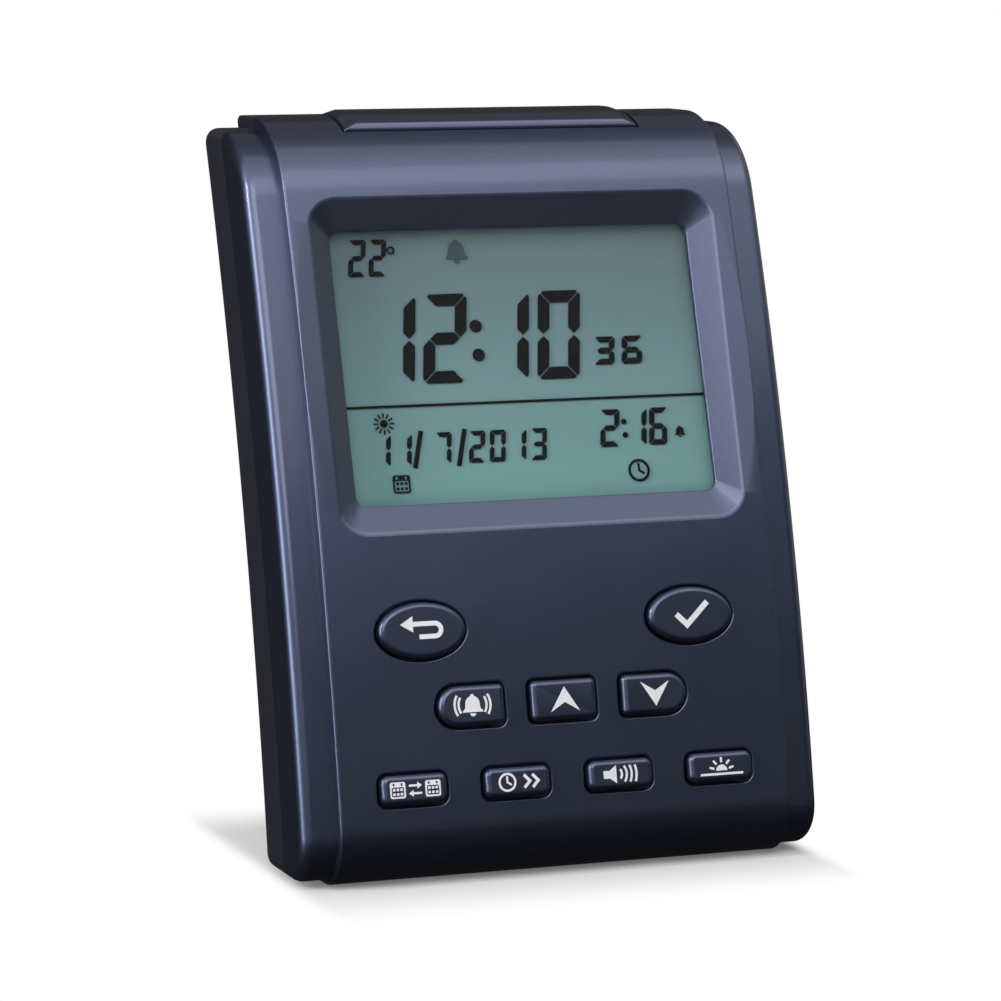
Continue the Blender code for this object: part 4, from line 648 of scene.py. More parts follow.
def lacquer(name, dark, light, flake, coat):
    """Metallic lacquer: flakes under a thin clear coat with slight orange peel."""
    made, tree, shader = new_material(name)
    grain = use_group(tree, GRAIN, Scale=900.0, Mottle=35.0)
    tone = colour_mix(tree, grain["Mask"], dark, light)
    flaked = colour_mix(tree, ranged(tree, use_group(tree, FLAKES)["Sparkle"], 0.0, 0.3), tone, flake)
    dusty = colour_mix(tree, use_group(tree, DUST, Amount=0.03)["Mask"], flaked, GREY_DUST)
    plain = {"Metallic": 0.95, "Coat_Weight": coat, "Coat_Roughness": 0.14}
    dress(tree, shader, dusty, grain["Mask"], (0.36, 0.43), **plain)
    bump(tree, shader, grain["Height"], 0.2, 0.010 * MM)
    return made


def clear_lens():
    """Clear plate: light from the lamps and from the display behind it passes straight through."""
    made, tree, shader = new_material("clear_window")
    mask = use_group(tree, GRAIN, Scale=400.0, Mottle=90.0)["Mask"]
    dress(tree, shader, (0.97, 0.99, 0.98, 1.0), mask, (0.0, 0.04), Transmission_Weight=1.0, IOR=1.1)
    passing = any_ray(tree, "Is Shadow Ray", "Is Diffuse Ray")
    clear = add(tree, "ShaderNodeBsdfTransparent", {})[0]
    mixed_end(tree, tree.nodes["Material Output"], passing, shader.outputs[0], clear)
    return made


def display_ground_painted_shade():
    """The liquid crystal's ground with painted shade: grey and darker at the top, greener and lighter towards
    the foot.
    """
    made, tree, shader = new_material("display_ground_painted_shade")
    low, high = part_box("lcd_front_glass")
    feeds = {"Value": apart(tree, object_place(tree))["Z"], "From Min": low.z, "From Max": high.z}
    # Painted shade: this ramp over height stands in for how the display's shading changes with the angle it
    # is seen at
    ramp = tree.nodes.new("ShaderNodeValToRGB")
    feed(tree, ramp.inputs["Fac"], add(tree, "ShaderNodeMapRange", feeds)["Result"])
    stops = ramp.color_ramp.elements
    stops[0].position = 0.08
    stops[0].color = (0.178, 0.350, 0.345, 1.0)
    stops[1].position = 0.9
    stops[1].color = (0.129, 0.182, 0.208, 1.0)
    stops.new(0.5).color = (0.168, 0.275, 0.298, 1.0)
    grain = use_group(tree, GRAIN, Scale=3000.0, Mottle=25.0)
    shade = colour_mix(tree, ranged(tree, grain["Mask"], 0.0, 0.2), ramp.outputs["Color"], (0.12, 0.20, 0.20))
    dress(tree, shader, shade, grain["Height"], (0.42, 0.5), Specular_IOR_Level=0.05)
    return made


def board_finish():
    """Green solder mask over a pattern of tracks, with paler bare pads."""
    made, tree, shader = new_material("solder_mask")
    feeds = {"Vector": object_place(tree), "Scale": 260.0, "Mortar Size": 0.06}
    tracks = add(tree, "ShaderNodeTexBrick", feeds)["Fac"]
    mask = use_group(tree, GRAIN, Scale=2000.0)["Mask"]
    tone = colour_mix(tree, mask, (0.018, 0.12, 0.045), (0.03, 0.17, 0.07))
    dress(tree, shader, colour_mix(tree, tracks, tone, (0.05, 0.26, 0.10)), mask, (0.3, 0.45))
    bump(tree, shader, tracks, 0.4, 0.03 * MM)
    return made


PALE_DUST = (0.35, 0.34, 0.32)
GREY_DUST = (0.30, 0.30, 0.30)
LACQUER = lacquer("metallic_blue_lacquer", (0.060, 0.073, 0.128), (0.072, 0.087, 0.150),
                  (0.12, 0.15, 0.25), 0.7)
KEY = lacquer("key_lacquer", (0.062, 0.075, 0.132), (0.073, 0.088, 0.152), (0.12, 0.15, 0.24), 0.5)
REAR = plastic("rear_moulding", (0.009, 0.010, 0.015), (0.014, 0.016, 0.023), (0.42, 0.55), 1600.0, 0.03 * MM,
               dust=0.06, Specular_IOR_Level=0.3)
PRINT = plastic("silver_print", (0.74, 0.75, 0.78), (0.86, 0.87, 0.90), (0.32, 0.48), 6000.0, 0.01 * MM, 0.04)
SEGMENT = plastic("display_segments", (0.004, 0.004, 0.005), (0.008, 0.008, 0.009), (0.4, 0.5), 5000.0,
                  dust=0.0, Specular_IOR_Level=0.05)
FAINT = plastic("faint_segments", (0.045, 0.070, 0.075), (0.055, 0.084, 0.09), (0.4, 0.5), 5000.0, dust=0.0,
                Specular_IOR_Level=0.05)
LENS = clear_lens()
GROUND = display_ground_painted_shade()
WHITE = plastic("white_moulding", (0.66, 0.67, 0.65), (0.74, 0.75, 0.73), (0.4, 0.55), dust=0.2)
RUBBER = plastic("grey_rubber_sheet", (0.20, 0.21, 0.23), (0.26, 0.27, 0.29), (0.7, 0.85), 1800.0, 0.04 * MM)
EPOXY = plastic("black_epoxy_drop", (0.010, 0.010, 0.012), (0.016, 0.016, 0.019), (0.18, 0.35), 900.0)
BOARD = board_finish()
STEEL = metal("plated_steel_finish", (0.52, 0.52, 0.50), (0.64, 0.64, 0.62), (0.22, 0.38))
NICKEL = metal("nickel_finish", (0.60, 0.57, 0.50), (0.70, 0.67, 0.60), (0.16, 0.3))
PAPER = plastic("cone_pulp", (0.022, 0.022, 0.024), (0.034, 0.034, 0.036), (0.8, 0.95), 1200.0, 0.08 * MM)
FERRITE = plastic("fired_ferrite", (0.045, 0.045, 0.05), (0.07, 0.07, 0.075), (0.5, 0.7), 2200.0, 0.05 * MM)
SLEEVE = plastic("capacitor_film", (0.015, 0.022, 0.07), (0.022, 0.03, 0.09), (0.25, 0.38), dust=0.1)
JACKET = plastic("cell_film", (0.16, 0.18, 0.21), (0.22, 0.24, 0.27), (0.28, 0.4), dust=0.1)
FOIL = plastic("amber_film", (0.42, 0.17, 0.03), (0.52, 0.24, 0.05), (0.2, 0.32), 1400.0, dust=0.05)
VINYL = ((0.34, 0.46), 1800.0, 0.02 * MM, 0.1)
RED_WIRE = plastic("red_vinyl", (0.42, 0.02, 0.015), (0.52, 0.03, 0.022), *VINYL)
BLACK_WIRE = plastic("black_vinyl", (0.012, 0.012, 0.013), (0.020, 0.020, 0.022), *VINYL)


# Case shells
def case_outline(front, top, foot, back):
    """The case seen from its side, each surface drawn in by its own distance."""
    top_z = CASE_HEIGHT - top
    upper = TOP_SHOULDER - front
    lower = BOTTOM_SHOULDER - front
    edge = max(BACK_EDGE - back, INNER_CORNER)
    front_radius = FACE_RADIUS - front
    back_radius = FACE_RADIUS + back
    back_y = ARC_Y + CASE_DEPTH

    def corner(middle_y, reach, z):
        """Centre of a rounding that runs into a face, and the lean where they meet."""
        lean = asin((z - ARC_Z) / reach)
        return (middle_y - reach * cos(lean), z), lean

    upper_at, upper_lean = corner(ARC_Y, front_radius - upper, top_z - upper)
    lower_at, lower_lean = corner(ARC_Y, front_radius - lower, foot + lower)
    top_at, top_lean = corner(back_y, back_radius + edge, top_z - edge)
    foot_at, foot_lean = corner(back_y, back_radius + edge, foot + edge)
    outline = arc(lower_at, lower, -pi / 2, lower_lean, SHOULDER_STEPS)
    outline += arc((ARC_Y, ARC_Z), front_radius, lower_lean, upper_lean, FACE_STEPS)[1:-1]
    outline += arc(upper_at, upper, upper_lean, pi / 2, SHOULDER_STEPS)
    outline += arc(top_at, edge, pi / 2, pi + top_lean, EDGE_STEPS)
    outline += arc((back_y, ARC_Z), back_radius, top_lean, foot_lean, FACE_STEPS)[1:-1]
    return outline + arc(foot_at, edge, pi + foot_lean, 3 * pi / 2, EDGE_STEPS)


def slab(half_width, rounding, front, top, foot, back):
    """The case's side outline run across it, its side edges rounded by drawing the outline in."""
    sides = [(half_width - inset, down) for inset, down in edge_round(rounding, QUARTER)]
    rings = []
    for x, down in [(-x, down) for x, down in sides] + sides[::-1]:
        outline = case_outline(front + down, top + down, foot + down, back + down)
        rings.append([(x, y, z) for y, z in outline])
    return loft(rings)


def prism(outline, half_width):
    """A plain side outline of (y, z) points run across the case."""
    return loft([[(x, y, z) for y, z in outline] for x in (-half_width, half_width)])


def seam_side(depth, far_y):
    heights = spread(FACE_STEPS + 1, -SEAM_REACH, CASE_HEIGHT + SEAM_REACH)
    outline = [(face_y(z, depth), z) for z in heights]
    return prism(outline + [(far_y, heights[-1]), (far_y, heights[0])], CASE_WIDTH)


def seam_rounded(shell, depth):
    """Rounds the outer edge of a shell where it meets the seam."""
    bm = bmesh.new()
    bm.from_mesh(shell.data)
    tiny = 0.02 * MM

    def on_seam(vert):
        return abs(vert.co.y - face_y(vert.co.z, depth)) < tiny

    def outside(vert):
        side = abs(vert.co.x) > CASE_WIDTH / 2 - tiny
        return side or vert.co.z > CASE_HEIGHT - BAND_STEP - RAIL_EDGE or vert.co.z < FOOT_STEP + RAIL_EDGE

    edges = []
    for edge in bm.edges:
        if len(edge.link_faces) == 2 and all(on_seam(v) and outside(v) for v in edge.verts):
            seam_faces = [f for f in edge.link_faces if all(on_seam(v) for v in f.verts)]
            inner = min(abs(abs(v.co.x) - (CASE_WIDTH / 2 - WALL)) for v in edge.verts) < tiny
            if len(seam_faces) == 1 and not inner:
                edges.append(edge)
    bmesh.ops.bevel(bm, geom=edges, offset=SEAM_ROUND, segments=2, affect="EDGES", clamp_overlap=True)
    bm.to_mesh(shell.data)
    bm.free()
    return shell


def cores(depth):
    """The space inside the rails and inside the band, at a depth under their faces."""
    rails = case_outline(BAND_STEP + depth, BAND_STEP + depth, FOOT_STEP + depth, depth)
    band = case_outline(depth, depth, depth, BAND_BACK_STEP + depth)
    return prism(rails, CASE_WIDTH / 2 - depth), prism(band, BAND_WIDTH / 2 - depth)


def hollow_shell(depth, far_y):
    """One shell of the hollow case, on its own side of the seam."""
    shell = slab(CASE_WIDTH / 2, RAIL_EDGE, BAND_STEP, BAND_STEP, FOOT_STEP, 0.0)
    combined(shell, "UNION", slab(BAND_WIDTH / 2, BAND_EDGE, 0.0, 0.0, 0.0, BAND_BACK_STEP))
    combined(shell, "DIFFERENCE", *cores(WALL))
    return seam_rounded(combined(shell, "INTERSECT", seam_side(depth, far_y)), depth)


def face_level(matrix, v):
    """How far the face lies out of a leaning frame's plane, at a distance up that plane."""
    start = matrix @ Vector((0, v, 0))
    along = matrix.to_3x3() @ Vector((0, 0, 1))
    dy = start.y - ARC_Y
    dz = start.z - ARC_Z
    half_b = dy * along.y + dz * along.z
    return -half_b + sqrt(half_b ** 2 - (dy ** 2 + dz ** 2 - FACE_RADIUS ** 2))


def window_size(share):
    """The window's outline: share 0 lies at the mouth's plane and 1 at the viewing edge."""
    return [mouth + (view - mouth) * share for mouth, view in zip(RECESS_SIZE, VIEW_SIZE)]


def window_point(index, share):
    x, v = rounded_rectangle(*window_size(share))[index]
    return Vector((x, v + VIEW_RISE * share, -RECESS_DEPTH * share))


def over_face(point):
    return point.z > face_level(DISPLAY, point.y)


def window_cutter():
    """The window as a cutter: straight funnel, slopes, and a rounded edge where they meet the face."""
    deep = Vector((0, 0, -1))
    columns = []
    for i in range(len(rounded_rectangle(*VIEW_SIZE))):
        edge = window_point(i, 1.0)
        slope = (window_point(i, 0.0) - edge).normalized()
        share = halved(-MOUTH_SEARCH, MOUTH_SEARCH, 30, lambda share: over_face(window_point(i, share)))
        mouth = window_point(i, share)
        outer = mouth + Vector((slope.x, slope.y, 0)).normalized() * MOUTH_ROUND
        outer.z = face_level(DISPLAY, outer.y)
        inner = mouth - slope * MOUTH_ROUND
        column = [edge + deep * (FUNNEL_LENGTH + OVERRUN), edge + deep * VIEW_ROUND,
                  edge + (slope + deep) * VIEW_ROUND * 0.25, edge + slope * VIEW_ROUND]
        for u in (0.0, 0.3, 0.6, 0.85):
            column.append(inner * (1 - u) ** 2 + mouth * 2 * u * (1 - u) + outer * u ** 2)
        column.append(column[-1] + (column[-1] - column[-2]).normalized() * OVERRUN)
        columns.append(column + [column[-1] - deep * OVERRUN])
    return loft(zip(*columns), DISPLAY)


KEY_SHAPES = {
    "exit_key": (OVAL_SIZE, None, 0),
    "set_key": (OVAL_SIZE, None, 0),
    "alarm_key": (ARROW_SIZE, ARROW_CORNER, -1),
    "up_key": (ARROW_SIZE, ARROW_CORNER, 0),
    "down_key": (ARROW_SIZE, ARROW_CORNER, 1),
    "calendar_key": (SMALL_SIZE, SMALL_CORNER, 0),
    "iqamah_key": (SMALL_SIZE, SMALL_CORNER, 0),
    "sound_key": (SMALL_SIZE, SMALL_CORNER, 0),
    "azan_key": (SMALL_SIZE, SMALL_CORNER, 0),
}


def key_outline(name, grow):
    """A key's outline drawn out by a distance."""
    size, corner, round_side = KEY_SHAPES[name]
    width, height = (length + 2 * grow for length in size)
    if corner is None:
        return [(x * width / 2, y * height / 2) for x, y in circle(1.0, steps=72)]
    if round_side:
        return one_round_end(width, height, corner + grow, round_side)
    return rounded_rectangle(width, height, corner + grow)


def span_in(frame, name):
    """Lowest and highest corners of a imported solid, measured along a leaning frame's own directions."""
    inverse = (TO_ORIGIN @ frame).inverted() @ nodes[name].matrix_world
    points = [inverse @ vert.co for vert in nodes[name].data.vertices]
    low, high = (Vector([pick(p[i] for p in points) for i in range(3)]) for pick in (min, max))
    return low, high


def middle_in(frame, name):
    low, high = span_in(frame, name)
    return (low + high) / 2


def key_cutter(name):
    """A key's opening with a rounded rim that follows the face."""
    x, v = middle_in(KEYS, name).xy
    rings = [at_level(shifted(key_outline(name, 0.0), x, v), -WALL - OVERRUN)]
    turns = [radians(angle) for angle in (0, 20, 40, 58, 74)]
    for grow, depth in edge_round(RIM_ROUND, turns) + [(RIM_ROUND * 2.2, -RIM_ROUND * 0.4)]:
        outline = shifted(key_outline(name, grow), x, v)
        rings.append([(px, pv, face_level(KEYS, pv) - depth) for px, pv in outline])
    return loft(rings, KEYS)


def screw_frame(x, z):
    """Frame at the seam on a case screw's axis: Z runs forwards into the front post."""
    return tilted(face_y(z, SEAM_DEPTH), z, CASE_SLOPE, x)


SCREW_FRAMES = [screw_frame(side * CASE_SCREW_X, z) for z in CASE_SCREW_Z for side in (-1, 1)]
SCREW_BACK = -(CASE_DEPTH - SEAM_DEPTH) * cos(CASE_SLOPE)


def at_screws(radius, low, high):
    """A rod on the axis of each case screw, measured from the seam."""
    return [rods(radius, low, high, at) for at in SCREW_FRAMES]


def bar_mouth():
    """The hole in both shells that the push bar passes through."""
    half = BAR_HALF + KEY_GAP
    return box((-half, BAR_FRONT_Y - KEY_GAP, BAR_SKIRT_Z - BAR_WALL),
               (half, BAR_BACK_Y + KEY_GAP, CASE_HEIGHT + OVERRUN))


def window_tray():
    """The wall round the window inside the case."""
    rings = []
    for share, level in ((FUNNEL_ROOT / RECESS_DEPTH, -FUNNEL_ROOT), (1.0, -RECESS_DEPTH),
                         (1.0, -RECESS_DEPTH - FUNNEL_LENGTH)):
        width, height, corner = window_size(share)
        outline = rounded_rectangle(width + 2 * FUNNEL_WALL, height + 2 * FUNNEL_WALL, corner + FUNNEL_WALL)
        rings.append(at_level(shifted(outline, 0, VIEW_RISE * share), level))
    return loft(rings, DISPLAY)


def numbered(name, count=4):
    return [f"{name}_{number}" for number in range(1, count + 1)]


def bosses(prefix, radius, held, frame):
    """Bosses that a row of small screws bites into, with their holes, from the screws' own nodes."""
    places = [middle_in(frame, name).xy for name in numbered(prefix)]
    tip = span_in(frame, prefix + "_1")[1].z
    face = tip - TAPPER_BITE + held + SEAT
    solid = rods(radius, face, face + BOSS_REACH, frame, 24, places)
    return solid, rods(TAPPER[0] + SEAT, face - 2 * SEAT, tip + 2 * SEAT, frame, 24, places)


def front_case():
    """The front shell: window, key openings, the bar's mouth, and the posts and bosses behind its walls."""
    shell = hollow_shell(SEAM_DEPTH, -CASE_WIDTH)
    posts = at_screws(POST_RADIUS, SEAT / 2, SEAM_DEPTH)
    ear_bosses, ear_holes = bosses("frame_screw", TAPPER[1], 0.0, DISPLAY)
    board_bosses, board_holes = bosses("board_screw", BOARD_BOSS_RADIUS, BOARD_THICKNESS, KEYS)
    rails, band = cores(WALL / 2)
    inner = combined(joined(ear_bosses, board_bosses, *posts), "INTERSECT", combined(rails, "UNION", band))
    combined(shell, "UNION", window_tray(), inner)
    openings = joined(*[key_cutter(name) for name in KEY_SHAPES])
    combined(shell, "DIFFERENCE", window_cutter(), openings, bar_mouth())
    holes = at_screws(CASE_SCREW_RADIUS + SEAT, -SEAT, CASE_SCREW_BITE + SEAT)
    combined(shell, "DIFFERENCE", joined(ear_holes, board_holes, *holes))
    piece(smoothed(moved(shell)), "front_shell", LACQUER, "blue_lacquer", "case", "front_case")


def pivot_frame(lean):
    """Frame on the leg's pivot: X along the pins, Y up the back, Z forwards."""
    return tilted(LEG_PIVOT_Y, LEG_PIVOT_Z, lean)


LEG_PIVOT_Y = face_y(LEG_PIVOT_Z, CASE_DEPTH) - LEG_PIVOT_SINK
LEG_OUTER = LEG_INNER + 2 * LEG_ARM_WIDTH
FOLDED_LEAN = asin((LEG_PIVOT_Y - (face_y(0.0, CASE_DEPTH) - LEG_PIVOT_SINK)) / LEG_LENGTH)
FOOT_ACROSS = LEG_THICKNESS / 2 - LEG_EDGE
FOOT_ALONG = LEG_LENGTH - LEG_EDGE
LEG_REST = (atan2(FOOT_ACROSS, FOOT_ALONG)
            + acos((LEG_PIVOT_Z - LEG_EDGE) / hypot(FOOT_ACROSS, FOOT_ALONG)))
CHANNEL_INSIDE = LEG_THICKNESS / 2 + SEAT
CHANNEL_TOP = LEG_HEEL + 2 * SEAT
CHANNEL_LOW = -LEG_LENGTH - OVERRUN
CHANNEL_OUTSIDE = -LEG_PIVOT_SINK - OVERRUN
FOOT_ROOM_TOP = -LEG_LENGTH + LEG_FOOT_HEIGHT + CHANNEL_PLAY
CHANNEL_HALF = LEG_OUTER / 2 + CHANNEL_PLAY
BACK_LEVEL = -CASE_DEPTH * cos(KEY_LEAN)
DOOR_INNER = BACK_LEVEL + DOOR_THICKNESS
BAY_FLOOR = BACK_LEVEL + BAY_FLOOR_RISE
DOOR_HALF = (BAY_HALF[0] + DOOR_LAP, BAY_HALF[1] + DOOR_LAP)
DOOR_BOTTOM_V = BAY_V - DOOR_HALF[1]
DOOR_TOP_V = BAY_V + DOOR_HALF[1]


def arm_sides():
    inner = LEG_INNER / 2 - CHANNEL_PLAY
    return [(-CHANNEL_HALF, -inner), (inner, CHANNEL_HALF)]


def channel_lining():
    frame = pivot_frame(FOLDED_LEAN)
    skin = -LEG_PIVOT_SINK + BACK_EDGE / 2
    floor = CHANNEL_INSIDE + CHANNEL_FLOOR
    top = CHANNEL_TOP + CHANNEL_FLOOR
    linings = [box((near - CHANNEL_FLOOR, FOOT_ROOM_TOP, skin), (far + CHANNEL_FLOOR, top, floor), frame)
               for near, far in arm_sides()]
    lowest = -(LEG_PIVOT_Z - WALL / 2) / cos(FOLDED_LEAN)
    linings.append(box((-CHANNEL_HALF - CHANNEL_FLOOR, lowest, skin),
                       (CHANNEL_HALF + CHANNEL_FLOOR, FOOT_ROOM_TOP + CHANNEL_FLOOR, floor), frame))
    return linings


def channel_cuts():
    frame = pivot_frame(FOLDED_LEAN)
    cuts = [box((near, CHANNEL_LOW, CHANNEL_OUTSIDE), (far, CHANNEL_TOP, CHANNEL_INSIDE), frame)
            for near, far in arm_sides()]
    cuts.append(box((-CHANNEL_HALF, CHANNEL_LOW, CHANNEL_OUTSIDE),
                    (CHANNEL_HALF, FOOT_ROOM_TOP, CHANNEL_INSIDE), frame))
    reach = LEG_OUTER / 2 + PIN_LENGTH + SEAT
    across = frame @ Matrix.Rotation(pi / 2, 4, "Y")
    cuts.append(rods(PIN_RADIUS + PIN_PLAY, -reach, reach, across, 24))
    return cuts


def bay_walls():
    half_x, half_v = BAY_HALF
    block = box((-half_x - BAY_WALL, BAY_V - half_v - BAY_WALL, BACK_LEVEL + BACK_EDGE / 2),
                (half_x + BAY_WALL, BAY_V + half_v + BAY_WALL, BAY_FLOOR + BAY_WALL), KEYS)
    pad = box((-DOOR_HALF[0] - BAY_WALL, DOOR_BOTTOM_V - BAY_WALL, BACK_LEVEL + DOOR_THICKNESS / 2),
              (DOOR_HALF[0] + BAY_WALL, DOOR_TOP_V + BAY_WALL, DOOR_INNER + SEAT + DOOR_LEDGE), KEYS)
    return [block, pad]


def bay_cuts():
    half_x, half_v = BAY_HALF
    cuts = [box((-half_x, BAY_V - half_v, BACK_LEVEL - OVERRUN), (half_x, BAY_V + half_v, BAY_FLOOR), KEYS)]
    seat = rounded_rectangle(2 * (DOOR_HALF[0] + KEY_GAP), 2 * (DOOR_HALF[1] + KEY_GAP), DOOR_CORNER)
    levels = (BACK_LEVEL - OVERRUN, DOOR_INNER + SEAT)
    cuts.append(loft([at_level(shifted(seat, 0, BAY_V), level) for level in levels], KEYS))
    half = DOOR_HOOK_WIDTH / 2 + KEY_GAP
    for x in (-DOOR_HOOK_X, DOOR_HOOK_X):
        cuts.append(box((x - half, DOOR_BOTTOM_V - DOOR_HOOK_LENGTH - KEY_GAP,
                         DOOR_INNER - DOOR_HOOK_THICKNESS - SEAT),
                        (x + half, DOOR_BOTTOM_V + DOOR_HOOK_LENGTH, DOOR_INNER + DOOR_HOOK_LENGTH), KEYS))
    return cuts


def rear_cover():
    """The rear shell: battery bay, leg channel, sound slots, screw wells and the bar's mouth."""
    shell = hollow_shell(SEAM_DEPTH + SEAT, 2 * CASE_WIDTH)
    combined(shell, "UNION", *channel_lining(), *bay_walls())
    combined(shell, "DIFFERENCE", *bay_cuts(), *channel_cuts())
    inner, outer, height = SPEAKER_RING
    wells = at_screws(POST_RADIUS, SCREW_BACK + WALL / 2, -SEAT * 1.5)
    combined(shell, "UNION", *wells, rods(outer, WALL / 2, WALL + height, SPEAKER))
    bores = at_screws(CASE_SCREW_RADIUS + SEAT, -POST_FLOOR - OVERRUN, SEAT)
    heads = at_screws(CASE_SCREW_HEAD_RADIUS + SEAT, SCREW_BACK - OVERRUN, -POST_FLOOR)
    combined(shell, "DIFFERENCE", rods(inner, WALL, WALL + height + OVERRUN, SPEAKER), joined(*bores),
             joined(*heads), moved(grille_cutters(), SPEAKER), bar_mouth())
    piece(smoothed(moved(shell)), "rear_shell", REAR, "rear_plastic", "case", "rear_cover")


# Geometry Nodes trees
def new_tree(name, inputs):
    """A geometry tree with a geometry in and out and named inputs given as (name, type, default)."""
    tree = bpy.data.node_groups.new(name, "GeometryNodeTree")
    return sockets_of(tree, [("Geometry", "Geometry", None), *inputs], [("Geometry", "Geometry")])


def run_tree(tree, obj, **values):
    """Runs a tree on an object with inputs given by name, and turns the result into a plain mesh."""
    modifier = obj.modifiers.new(tree.name, "NODES")
    modifier.node_group = tree
    for item in tree.interface.items_tree:
        if item.item_type == "SOCKET" and item.in_out == "INPUT" and item.name in values:
            modifier[item.identifier] = values[item.name]
    return baked(obj)


def finished(tree, instances, material, result):
    """Ends a tree in real geometry with its finish set."""
    real = add(tree, "GeometryNodeRealizeInstances", {"Geometry": instances})["Geometry"]
    painted = add(tree, "GeometryNodeSetMaterial", {"Geometry": real, "Material": material})["Geometry"]
    feed(tree, result["Geometry"], painted)
    return tree


def screw_tree():
    """One screw at each point of the mesh, all turned alike."""
    inputs = [("Screw", "Object", None), ("Turn", "Vector", (0.0, 0.0, 0.0)), ("Finish", "Material", None)]
    tree, given, result = new_tree("screws_in_posts", inputs)
    feeds = {
        "Points": add(tree, "GeometryNodeMeshToPoints", {"Mesh": given["Geometry"]})["Points"],
        "Instance": add(tree, "GeometryNodeObjectInfo", {"Object": given["Screw"]})["Geometry"],
        "Rotation": add(tree, "FunctionNodeEulerToRotation", {"Euler": given["Turn"]})["Rotation"],
    }
    put = add(tree, "GeometryNodeInstanceOnPoints", feeds)["Instances"]
    return finished(tree, put, given["Finish"], result)


def grille_tree():
    """A row of round-ended slots whose ends lie on a circle."""
    inputs = [("Count", "Int", 7), ("Pitch", "Float", 0.0036), ("Reach", "Float", 0.0145),
              ("Slot", "Object", None), ("Finish", "Material", None)]
    tree, given, result = new_tree("sound_slots", inputs)
    half = math_node(tree, "MULTIPLY", math_node(tree, "SUBTRACT", given["Count"], 1.0), -0.5)
    start = add(tree, "ShaderNodeCombineXYZ", {"X": math_node(tree, "MULTIPLY", half, given["Pitch"])})
    step = add(tree, "ShaderNodeCombineXYZ", {"X": given["Pitch"]})
    feeds = {"Count": given["Count"], "Offset": step["Vector"], "Start Location": start["Vector"]}
    line = add(tree, "GeometryNodeMeshLine", feeds)["Mesh"]
    place = apart(tree, add(tree, "GeometryNodeInputPosition", {})["Position"])
    across = math_node(tree, "POWER", place["X"], 2.0)
    whole = math_node(tree, "POWER", given["Reach"], 2.0)
    chord = math_node(tree, "SQRT", math_node(tree, "SUBTRACT", whole, across), 0.0)
    share = math_node(tree, "DIVIDE", chord, given["Reach"])
    size = add(tree, "ShaderNodeCombineXYZ", {"X": 1.0, "Y": share, "Z": 1.0})["Vector"]
    slot = add(tree, "GeometryNodeObjectInfo", {"Object": given["Slot"]})["Geometry"]
    put = add(tree, "GeometryNodeInstanceOnPoints", {"Points": line, "Instance": slot, "Scale": size})
    return finished(tree, put["Instances"], given["Finish"], result)


SCREWS = screw_tree()
SLOTS = grille_tree()


def grille_cutters():
    """Seven slots, each with rounded ends and a rounded outer rim."""
    rings = []
    for level, grow in GRILLE_SHAPE:
        width = GRILLE_SLOT + 2 * grow
        length = 2 * GRILLE_RADIUS + 2 * grow
        rings.append(at_level(rounded_rectangle(width, length, GRILLE_CORNER + grow, 8), level))
    slot = loft(rings)
    sizes = {"Count": GRILLE_SLOTS, "Pitch": GRILLE_PITCH, "Reach": GRILLE_RADIUS}
    holder = run_tree(SLOTS, to_object(bmesh.new()), Slot=slot, Finish=REAR, **sizes)
    drop(slot)
    return holder


def screw_shape(radius, head_radius, head_height, tip):
    """A pan head screw at its seat: shank up Z to the tip, head below with a cross recess."""
    crown = head_height * 0.35
    core = radius * 0.8
    ridge = radius * 0.12
    profile = [(0.0, tip), (radius * 0.35, tip), (core, tip - radius)]
    turns = max(3, int((tip - radius) / (radius * 0.75)))
    for i in range(turns):
        level = (tip - radius) * (1 - (i + 0.5) / turns)
        profile += [(core, level + ridge), (radius, level), (core, level - ridge)]
    profile += [(core, 0.0), (head_radius, 0.0)]
    profile += bow(crown, 0, -90, head_radius - crown, crown - head_height, 4)
    profile.append((0.0, -head_height))
    screw = turned(profile, segments=24)
    arm = head_radius * 0.62
    wide = head_radius * 0.13
    deep = head_height * -0.45
    cross = [box((-x, -y, -head_height - MM), (x, y, deep)) for x, y in ((arm, wide), (wide, arm))]
    return combined(screw, "DIFFERENCE", *cross)


def screw_set(name, shape, stations, frame, replaced):
    """Screws of one kind, all square to one frame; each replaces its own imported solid."""
    bm = bmesh.new()
    for station in stations:
        bm.verts.new(frame @ Vector(station))
    holder = run_tree(SCREWS, to_object(bm), Screw=shape, Turn=tuple(frame.to_euler()), Finish=STEEL)
    drop(shape)
    piece(smoothed(moved(holder), weighted=False), name, STEEL, "plated_steel", "case", *replaced)


def screws():
    shape = screw_shape(CASE_SCREW_RADIUS, CASE_SCREW_HEAD_RADIUS, CASE_SCREW_HEAD,
                        CASE_SCREW_BITE + POST_FLOOR + SEAT)
    frame = tilted(0.0, 0.0, CASE_SLOPE)
    seats = [frame.inverted() @ at @ Vector((0, 0, -POST_FLOOR - SEAT)) for at in SCREW_FRAMES]
    screw_set("case_screws", shape, seats, frame, numbered("case_screw"))
    backwards = tilted(0.0, 0.0, 0.0) @ Matrix.Rotation(pi, 4, "Y")
    rows = (("board_screw", 4, KEYS), ("frame_screw", 4, DISPLAY), ("snooze_screw", 2, backwards))
    for name, count, frame in rows:
        replaced = numbered(name, count)
        spans = [span_in(frame, node) for node in replaced]
        seats = [((low.x + high.x) / 2, (low.y + high.y) / 2, low.z + TAPPER[2]) for low, high in spans]
        length = spans[0][1].z - spans[0][0].z
        screw_set(name + "s", screw_shape(*TAPPER, length - TAPPER[2]), seats, frame, replaced)


